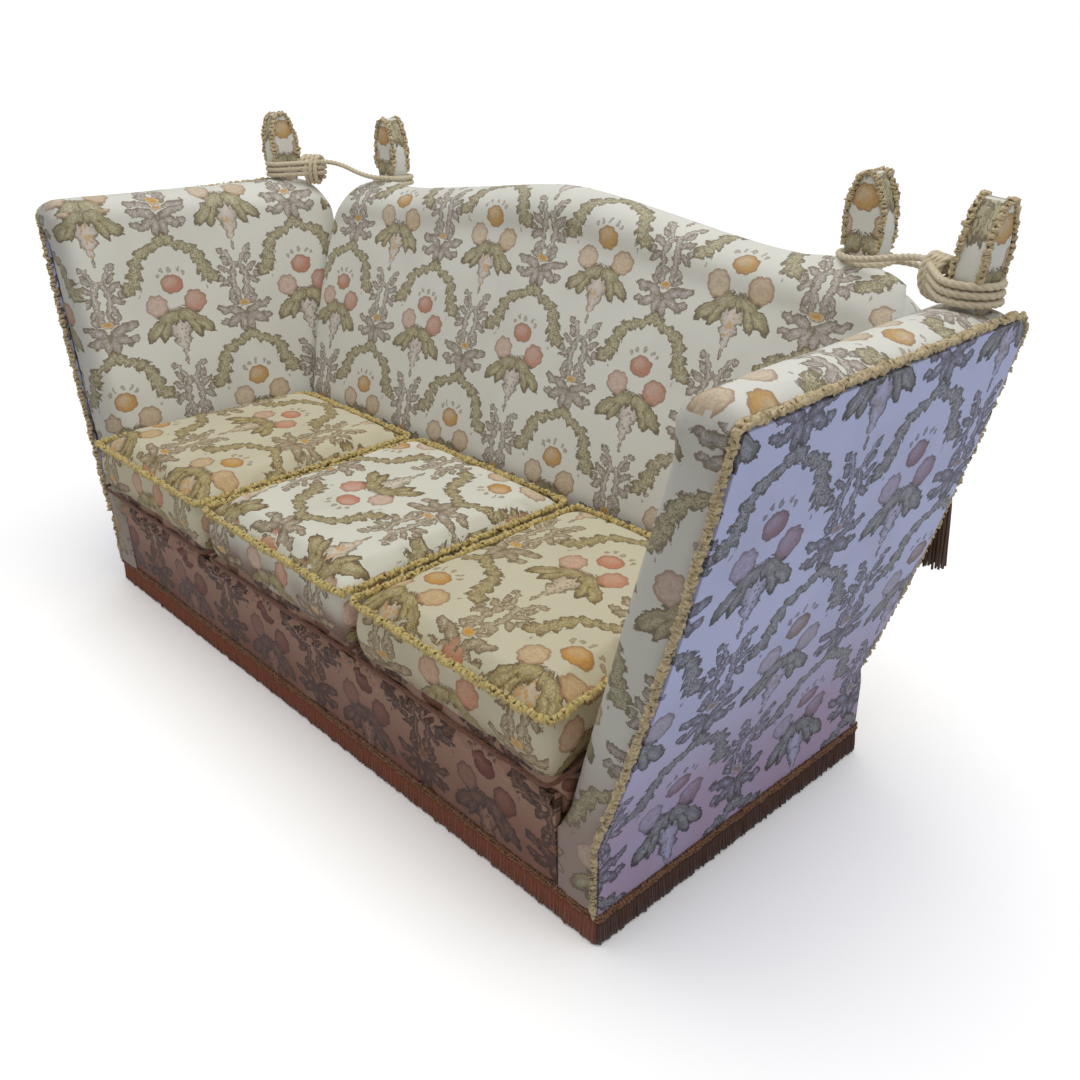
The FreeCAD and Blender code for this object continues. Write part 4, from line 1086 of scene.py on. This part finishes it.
class SOFA_OT_side_covers(bpy.types.Operator):
    """The outer side covers, one cloth from the fringe to the rim, which bends at the hinge"""

    bl_idname = "sofa.side_covers"
    bl_label = "Side covers"

    def execute(self, context):
        hem, rim_height = 0.04, 0.055
        for name, side in SIDES.items():
            def outside(s, t, side=side):
                z = COVER_LOW + (ARM_TOP - 0.002 - COVER_LOW) * t
                turned = 0.012 * capped((hem - s) / hem) + 0.058 * capped((s - 1 + hem) / hem)
                s = np.clip((s - hem) / (1 - 2 * hem), 0.003, 1)
                high = capped((z - 0.17) / 0.06)
                rear = REAR_Y - 0.016 * high
                y = FRONT_Y + (rear - FRONT_Y) * s
                x = np.where(z < HINGE_Z, BASE_HALF, outer_x(np.maximum(z, HINGE_Z)))
                rim = np.minimum(1.0, np.maximum(0, z - (ARM_TOP - rim_height)) / rim_height)
                y = np.minimum(y, rear - 0.05 * (1 - np.sqrt(np.maximum(0, 1 - rim**2))) * (s > 0.9))
                puff = 0.003 * (np.sin(math.pi * s) * np.sin(math.pi * t)) ** 0.5
                return np.stack([side * (x + puff - turned), raked(y, np.maximum(z, HINGE_Z)), z], 1)

            piece = surface(name + "_side_cover", 76, 90, outside, 0.0075)
            if side < 0:
                edit(piece, bpy.ops.mesh.normals_make_consistent, inside=False)

            def outer_rule(co, n, side=side):
                edge = outer_x(np.maximum(co[:, 2], HINGE_Z)) - np.abs(co[:, 0])
                round_edge = np.where(n[:, 1] > 0.6, edge, 0)
                return side * (co[:, 1] + round_edge + 0.253), co[:, 2] * 1.03 - 0.726 + PATTERN_RISE

            panels = [name + "_arm_outer_panel", name + "_base_panel"]
            upholster(piece, outer_rule, "side", None, panels, SHEET_ANGLE)
            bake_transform(piece)

            def strip(s, t, side=side):
                z = COVER_LOW + (0.31 - COVER_LOW) * t
                high = np.maximum(z, HINGE_Z)
                low_x = np.where(z < HINGE_Z, 0.8065, inner_x(high, FRONT_Y) + 0.001)
                x = low_x + (outer_x(high) - 0.003 - low_x) * s
                wrap = capped((z - 0.2) / 0.05) * capped(1 - s / 0.3) ** 2
                tuck = capped((t - 0.8) / 0.2) ** 2
                puff = 0.003 * np.sin(math.pi * s) ** 0.6
                return np.stack([side * x, raked(FRONT_Y, high) - puff + 0.024 * wrap + 0.01 * tuck, z], 1)

            piece = surface(name + "_corner_strip", 16, 32, strip, 0.005)
            edit(piece, bpy.ops.mesh.normals_make_consistent, inside=False)

            def wrapped(co, n, side=side):
                ax = np.abs(co[:, 0])
                edge = inner_x(np.maximum(co[:, 2], HINGE_Z), FRONT_Y)
                return -side * (FRONT_Y - (ax - edge) + 0.178), co[:, 2] * 1.02 - 0.702 + PATTERN_RISE

            upholster(piece, wrapped, "inside", angle=SHEET_ANGLE)
            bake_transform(piece)
        return {"FINISHED"}


class SOFA_OT_base_covers(bpy.types.Operator):
    """The border under the cushions, its crumpled folds, and the cloth-covered seat platform"""

    bl_idname = "sofa.base_covers"
    bl_label = "Base covers"

    def execute(self, context):
        def border(s, t):
            x = BORDER_HALF * (2 * s - 1)
            z = COVER_LOW + (BORDER_TOP - COVER_LOW) * t
            co = np.stack([x, x * 0, z * 0.4], 1)
            puff = 0.004 * np.sin(math.pi * t) ** 0.6 + 0.0015 * ripple(co, 22.0, 11)
            return np.stack([x, FRONT_Y - puff, z], 1)

        piece = surface("seat_border", 150, 24, border, 0.012)

        def upright(co, n):
            return co[:, 0] - 0.263, co[:, 2] * 1.02 - 0.154 + PATTERN_RISE

        upholster(piece, upright, "border", "base", ["front_border"], SHEET_ANGLE)

        def folds(s, t):
            x = (BORDER_HALF - 0.0035) * (2 * s - 1)
            z = BORDER_TOP - 0.036 + 0.035 * t
            creases = ripple(np.stack([x, x * 0, z * 1.4], 1), 190.0, 23)
            sag = ripple(np.stack([x, x * 0, x * 0], 1), 60.0, 29)
            puff = (0.007 + 0.006 * creases) * np.sin(math.pi * np.clip(t, 0.02, 0.98)) ** 0.5
            return np.stack([x, FRONT_Y - 0.0045 - puff, z + 0.007 * sag * (1 - t)], 1)

        piece = surface("seat_folds", 260, 12, folds, 0.003)
        upholster(piece, lambda co, n: (co[:, 0] - 0.263, co[:, 2] * 1.3), "border", "base", angle=60)

        deck = soft_copy("seat_deck", "seat_platform", 0.009, 4)
        co = points_of(deck)
        lip = capped((FRONT_Y + 0.05 - co[:, 1]) / 0.05)
        co[:, 1] -= lip * 0.004 * ripple(co * (1, 0, 0.25), 60.0, 17)
        co[:, 2] += lip * 0.004 * ripple(co * (1, 0, 0), 45.0, 19)
        set_points(deck, co)

        def level(co, n):
            return co[:, 0] + 0.07, co[:, 2] + 0.6 * co[:, 1]

        upholster(deck, level, "border", "base", ["seat_platform"])
        return {"FINISHED"}


class SOFA_OT_cushions(bpy.types.Operator):
    """The three loose seat cushions, filled as cloth, with their trims"""

    bl_idname = "sofa.cushions"
    bl_label = "Seat cushions"

    def execute(self, context):
        gold = colours().trim_gold
        # Painted shade: the darker colours of the gold trim and of the welt stand in for shade in their hollows
        trim = yarn("gold_trim", mixed(gold, (0.2, 0.12, 0.03, 1), 0.5), gold)
        welt = yarn("red_brown_welt", tone(84, 48, 36), tone(134, 88, 66))
        spots = {"left": (-0.573, -0.116, 1), "middle": (-0.022, -0.173, -1), "right": (0.569, -0.124, 1)}
        for name, (x0, y0, way) in spots.items():
            node = name + "_seat_cushion"
            cushion = soft_copy(name + "_cushion_cover", node, 0.0085, 5)
            settle(cushion, "DISPLACE", strength=-0.006, mid_level=0.0)
            swell(cushion, 4.0, sizes().cushion_swell, 0.35)
            settle(cushion, "SUBSURF", levels=1, render_levels=1)

            low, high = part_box(name + "_cushion_ruche")

            def rule(co, n, x0=x0, y0=y0, way=way, low=low):
                u = way * (co[:, 0] - x0)
                v = way * (co[:, 1] - y0) + PATTERN_RISE
                sides = np.abs(n[:, 2]) < 0.62
                flank = sides & (np.abs(n[:, 0]) > np.abs(n[:, 1]))
                u[sides] = co[sides, 0] - x0
                u[flank] += np.sign(n[flank, 0]) * (co[flank, 1] - low.y)
                v[sides] = co[sides, 2] - 0.36 + 0.235
                return u, v

            body = name + "_cushion"
            kind = "middle" if name == "middle" else "seat"
            upholster(cushion, rule, kind, body, [node])
            edge = (low.z + high.z) / 2
            outline = cushion_outline(name, edge, 0.006)
            piece = looped_trim(name + "_cushion_trim", outline, sizes().cushion_trim, True)
            dress(piece, trim, body, [name + "_cushion_ruche"])
            piece = piping(name + "_cushion_piping", cushion_outline(name, low.z - 0.114, 0.003), 0.0042)
            dress(piece, welt, body)
        return {"FINISHED"}


def cushion_outline(name, level, inset):
    """Control points round a cushion at one level, from the corners of its ruche."""
    low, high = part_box(name + "_cushion_ruche")
    co = points_of(frame["nodes"][name + "_cushion_ruche"])
    near = 0.12
    front = co[co[:, 1] < low.y + near]
    rear = co[co[:, 1] > high.y - near]
    y0, y1 = low.y + inset, high.y - inset
    corners = [
        (front[:, 0].min() + inset, y0),
        (front[:, 0].max() - inset, y0),
        (rear[:, 0].max() - inset, y1),
        (rear[:, 0].min() + inset, y1),
    ]
    return rounded(corners, level, (0.16, 0.045, 0.012))


def piping(name, points, radius):
    """A cord of cloth sewn into a seam, round a closed line."""
    curve = route(name, points, True)
    curve.data.bevel_depth = radius
    curve.data.bevel_resolution = 2
    only(curve)
    bpy.ops.object.convert(target="MESH")
    smooth(curve)
    return curve


class SOFA_OT_ears(bpy.types.Operator):
    """The four upholstered ears, with looped trim round their faces"""

    bl_idname = "sofa.ears"
    bl_label = "Ears"

    def execute(self, context):
        cream = colours().trim_cream
        trim = yarn("ear_trim", mixed(cream, TRIM_HOLLOW_SHADE, 0.45), cream)
        for name, side in SIDES.items():
            for kind, body in (("arm", name + "_arm"), ("back", "base")):
                node = "%s_%s_finial" % (name, kind)
                ear = soft_copy(node + "_cover", node, 0.0032, 4)
                place = ear_place(kind, side)
                inverse = place.inverted()

                def rule(co, n, inverse=inverse):
                    turn = np.array(inverse.to_3x3())
                    local = co @ turn.T + np.array(inverse.translation)
                    facing = n @ turn.T
                    u = local[:, 0].copy()
                    gusset = np.abs(facing[:, 0]) > 0.6
                    v = local[:, 2] - 0.13 + 0.57
                    u[gusset] = local[gusset, 1] * 0.9
                    v[gusset] = local[gusset, 2] * 0.42 + 0.27 + 0.352
                    return u + sizes().repeat_width / 2, v

                upholster(ear, rule, "inside", body, [node])
                rims = []
                for face in (-1, 1):
                    points = [place @ Vector((x, face * 0.0225, z)) for x, z in ear_outline()]
                    rims.append(looped_trim("%s_rim" % node, points, sizes().ear_trim))
                dress(joined(node + "_trim", rims[0], rims[1:]), trim, body)
        return {"FINISHED"}


def ear_place(kind, side):
    """The placing of an ear, whose own face is in the XZ plane with its root at the origin."""
    if kind == "back":
        return Matrix.Translation((side * BACK_EAR.x, BACK_EAR.y, BACK_EAR.z))
    root = Vector((side * ARM_EAR.x, ARM_EAR.y, ARM_EAR.z))
    foot = root - Vector((0, 0, 0.036))
    lean = Matrix.Translation(foot) @ Matrix.Rotation(side * EAR_LEAN, 4, "Y") @ Matrix.Translation(-foot)
    return lean @ Matrix.Translation(root) @ Matrix.Rotation(math.pi / 2, 4, "Z")


def ear_outline():
    """Half widths of an ear's face up one side and down the other."""
    widths = (0.034, 0.0375, 0.0385, 0.0375, 0.031, 0.021, 0.009)
    rise = list(zip(widths, (0.046, 0.06, 0.08, 0.105, 0.137, 0.161, 0.175)))
    return rise + [(-x, z) for x, z in reversed(rise)]


class SOFA_OT_trims(bpy.types.Operator):
    """Looped trim round the outer edges of the arms and down the base's corners"""

    bl_idname = "sofa.trims"
    bl_label = "Arm trims"

    def execute(self, context):
        cream = colours().trim_cream
        material = yarn("arm_trim", mixed(cream, TRIM_HOLLOW_SHADE, 0.5), cream)
        stand = 0.0073
        front = FRONT_Y - stand
        rear = FRONT_Y + ARM_DEPTH + stand
        rim = ARM_TOP + stand
        for name, side in SIDES.items():
            def at(y, z, side=side):
                return (side * (float(outer_x(z)) - 0.007), raked(y, z), z)

            points = [at(front, z) for z in (0.212, 0.3, 0.45, 0.6, 0.75, 0.88, 0.93)]
            points += [at(y, rim) for y in (front, front + 0.03, front + 0.2, rear - 0.3, rear - 0.09)]
            points += [at(rear - 0.03, rim - 0.004), at(rear - 0.004, rim - 0.03), at(rear, rim - 0.09)]
            points += [at(rear, z) for z in (0.75, 0.6, 0.45, 0.3, 0.212)]
            piece = looped_trim(name + "_arm_trim", points, sizes().arm_trim)
            dress(piece, material, name + "_arm", [name + "_arm_ruche"])
            corner = [(side * 0.8945, FRONT_Y - 0.0055, z) for z in (COVER_LOW, 0.11, 0.16, 0.193)]
            piece = looped_trim(name + "_corner_trim", corner, sizes().arm_trim * 0.85)
            dress(piece, material, "base")
        return {"FINISHED"}


class SOFA_OT_fringe(bpy.types.Operator):
    """The bullion fringe round the base, with its braid"""

    bl_idname = "sofa.fringe"
    bl_label = "Fringe"

    def execute(self, context):
        rust = colours().fringe_rust
        # Painted shade: the darker colours of the fringe and braid stand in for shade between their yarns, and past
        # |x| 0.893 the fringe's sides turn a darker brown as if in shadow
        material = yarn("fringe_yarn", mixed(rust, (0.02, 0.008, 0.004, 1), 0.5), rust, 330.0, tone(78, 44, 30))
        braid = yarn("fringe_braid", tone(104, 62, 38), tone(168, 122, 84), 330.0)

        def round_base(level, out):
            x, y0, y1 = BASE_HALF + out, FRONT_Y - out, REAR_Y + out
            return rounded([(-x, y0), (x, y0), (x, y1), (-x, y1)], level, (0.2, 0.02, 0.004))

        step = sizes().fringe_step
        drop = 0.053
        strands = []
        for number in range(2):
            strand = straight_yarn(6, step * 0.56, drop, 2)
            co = points_of(strand)
            down = 0.5 - co[:, 2] / drop
            flare = 0.0012 - 0.003 * down - 0.0012 * number * down
            set_points(strand, co + np.stack([down * 0 + step * number, flare, down * 0], 1))
            strands.append(strand)
        unit = joined("fringe_skirt", strands[1], strands[:1])
        skirt = along(route("fringe_line", round_base(0.0305, 0.0015), True), unit, step * 2, True)
        co = points_of(skirt)
        loose = capped((0.055 - co[:, 2]) / 0.05) ** 1.5
        co[:, 0] += loose * 0.0022 * ripple(co * (1, 1, 0.2), 420.0, 23)
        co[:, 1] += loose * 0.0018 * ripple(co * (1, 1, 0.2), 380.0, 29)
        co[:, 2] = np.maximum(co[:, 2] + loose * 0.002 * ripple(co * (1, 1, 0), 500.0, 31), 0.0035)
        set_points(skirt, co)
        smooth(skirt)
        dress(skirt, material, "base", ["base_fringe"])
        for number, level in enumerate((0.063, 0.0555)):
            piece = looped_trim("fringe_braid_%d" % (number + 1), round_base(level, 0.0025), 0.0042, True)
            dress(piece, braid, "base")
        return {"FINISHED"}


class SOFA_OT_frame_finishes(bpy.types.Operator):
    """Finishes for the frame, the feet, the hinges and the cloth under the seat"""

    bl_idname = "sofa.frame_finishes"
    bl_label = "Frame finishes"

    def execute(self, context):
        finishes = {
            "frame_wood": timber("sawn_beech", tone(150, 112, 74), tone(190, 152, 108), (1.5, 14, 14)),
            "foot_wood": timber("stained_wood", tone(52, 30, 18), tone(92, 56, 34), (12, 12, 2)),
            "hinge_steel": steel("hinge_steel"),
            # Painted shade: each yarn finish's darker tone stands in for shade in the hollows between its strands
            "webbing": yarn("jute_webbing", tone(96, 76, 46), tone(160, 132, 88), 500.0),
            "dust_cloth": yarn("dust_cloth", tone(14, 14, 15), tone(34, 34, 36), 700.0),
        }
        for part in frame["record"]["subparts"]:
            finish = finishes.get(part["material_slot"])
            if finish:
                piece = frame["nodes"][part["node"]]
                for slot in piece.material_slots:
                    slot.material = finish
        return {"FINISHED"}


# The camera's place, its angles down, to the side and of roll in degrees, and its focal length in picture widths; the
# room's light on the sofa and in the picture; and each lamp's place, aim, size, power and colour
CAMERA_PLACE = (1.8215, -1.3856, 1.4189)
CAMERA_ANGLES = (26.50, 47.38, -0.93)
CAMERA_FOCAL = 1094.8 / 1080
SENSOR_WIDTH = 36.0
ROOM_LIGHT = 0.42
ROOM_WHITE = 1.0
LAMPS = {
    "overhead": ((0.2, 0.1, 4.2), (0, 0.1, 0.4), 3.6, 80, (1, 0.99, 0.97)),
    "window": ((3.6, 1.2, 2.2), (0, 0, 0.5), 2.2, 10, (0.86, 0.92, 1)),
}


class SOFA_OT_stage(bpy.types.Operator):
    """The pale floor, the soft light and the camera"""

    bl_idname = "sofa.stage"
    bl_label = "Stage"

    def execute(self, context):
        scene = bpy.context.scene
        scene.view_settings.view_transform = "Standard"
        bpy.ops.mesh.primitive_plane_add(size=40, location=(0, 0, 0))
        floor = bpy.context.active_object
        floor.name = "floor"
        sheet = Sheet("pale_floor")
        rays = sheet.add("ShaderNodeLightPath", output="Is Camera Ray")
        across, along_floor, _ = sheet.parts(sheet.place())
        away = (across * across + along_floor * along_floor).maths("SQRT").rises(1.1, 2.3)
        bright = sheet.blend(rays, (0.9, 0.9, 0.9, 1), (1.5, 1.5, 1.5, 1))
        matt = sheet.add("ShaderNodeBsdfDiffuse", {}, {"Color": bright})
        glow = sheet.add("ShaderNodeEmission", {}, {"Color": (1, 1, 1, 1), "Strength": 1.05})
        mixed_up = sheet.add("ShaderNodeMixShader", {}, [rays * (away * 0.9 + 0.1), matt, glow])
        sheet.add("ShaderNodeOutputMaterial", {}, {"Surface": mixed_up})
        floor.data.materials.append(sheet.material)
        world = bpy.data.worlds.new("studio")
        scene.world = world
        world.use_nodes = True
        tree = world.node_tree
        background = tree.nodes["Background"]
        path = tree.nodes.new("ShaderNodeLightPath")
        strength = tree.nodes.new("ShaderNodeMapRange")
        strength.inputs["To Min"].default_value = ROOM_LIGHT
        strength.inputs["To Max"].default_value = ROOM_WHITE
        tree.links.new(path.outputs["Is Camera Ray"], strength.inputs["Value"])
        tree.links.new(strength.outputs["Result"], background.inputs["Strength"])
        background.inputs["Color"].default_value = (1, 1, 1, 1)
        for name, (place, aim, size, power, warm) in LAMPS.items():
            data = bpy.data.lights.new(name, "AREA")
            data.energy = power
            data.size = size
            data.color = warm
            lamp = bpy.data.objects.new(name, data)
            scene.collection.objects.link(lamp)
            lamp.location = place
            lamp.rotation_euler = (Vector(aim) - Vector(place)).to_track_quat("-Z", "Y").to_euler()
        data = bpy.data.cameras.new("camera")
        data.sensor_width = SENSOR_WIDTH
        data.lens = SENSOR_WIDTH * CAMERA_FOCAL
        camera = bpy.data.objects.new("camera", data)
        scene.collection.objects.link(camera)
        pitch, turn, roll = (math.radians(angle) for angle in CAMERA_ANGLES)
        level = Vector((-math.sin(turn), math.cos(turn), 0))
        right = Vector((math.cos(turn), math.sin(turn), 0))
        ahead = level * math.cos(pitch) - Vector((0, 0, math.sin(pitch)))
        down = level * -math.sin(pitch) - Vector((0, 0, math.cos(pitch)))
        x_axis = right * math.cos(roll) - down * math.sin(roll)
        y_axis = -(right * math.sin(roll) + down * math.cos(roll))
        placing = Matrix((x_axis, y_axis, -ahead)).transposed().to_4x4()
        placing.translation = CAMERA_PLACE
        camera.matrix_world = placing
        scene.camera = camera
        return {"FINISHED"}


class SOFA_PT_panel(bpy.types.Panel):
    """Buttons for the sofa's pieces"""

    bl_idname = "SOFA_PT_panel"
    bl_label = "Knole sofa"
    bl_space_type = "VIEW_3D"
    bl_region_type = "UI"
    bl_category = "Sofa"

    def draw(self, context):
        for group in (context.scene.sofa_sizes, context.scene.sofa_colours):
            for key in group.bl_rna.properties.keys():
                if key not in ("rna_type", "name"):
                    self.layout.prop(group, key)
        for operator in OPERATORS:
            self.layout.operator(operator.bl_idname)


OPERATORS = (
    SOFA_OT_stage,
    SOFA_OT_cords,
    SOFA_OT_back,
    SOFA_OT_arms,
    SOFA_OT_side_covers,
    SOFA_OT_base_covers,
    SOFA_OT_cushions,
    SOFA_OT_ears,
    SOFA_OT_trims,
    SOFA_OT_fringe,
    SOFA_OT_frame_finishes,
)
CLASSES = (SofaSizes, SofaColours) + OPERATORS + (SOFA_PT_panel,)


def register():
    for each in CLASSES:
        bpy.utils.register_class(each)
    bpy.types.Scene.sofa_sizes = bpy.props.PointerProperty(type=SofaSizes)
    bpy.types.Scene.sofa_colours = bpy.props.PointerProperty(type=SofaColours)


def unregister():
    del bpy.types.Scene.sofa_colours
    del bpy.types.Scene.sofa_sizes
    for each in reversed(CLASSES):
        bpy.utils.unregister_class(each)


def main():
    register()
    bpy.ops.sofa.stage()
    bpy.ops.sofa.cords()
    bpy.ops.sofa.back()
    bpy.ops.sofa.arms()
    bpy.ops.sofa.side_covers()
    bpy.ops.sofa.base_covers()
    bpy.ops.sofa.cushions()
    bpy.ops.sofa.ears()
    bpy.ops.sofa.trims()
    bpy.ops.sofa.fringe()
    bpy.ops.sofa.frame_finishes()
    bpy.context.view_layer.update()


if __name__ == "__main__":
    main()
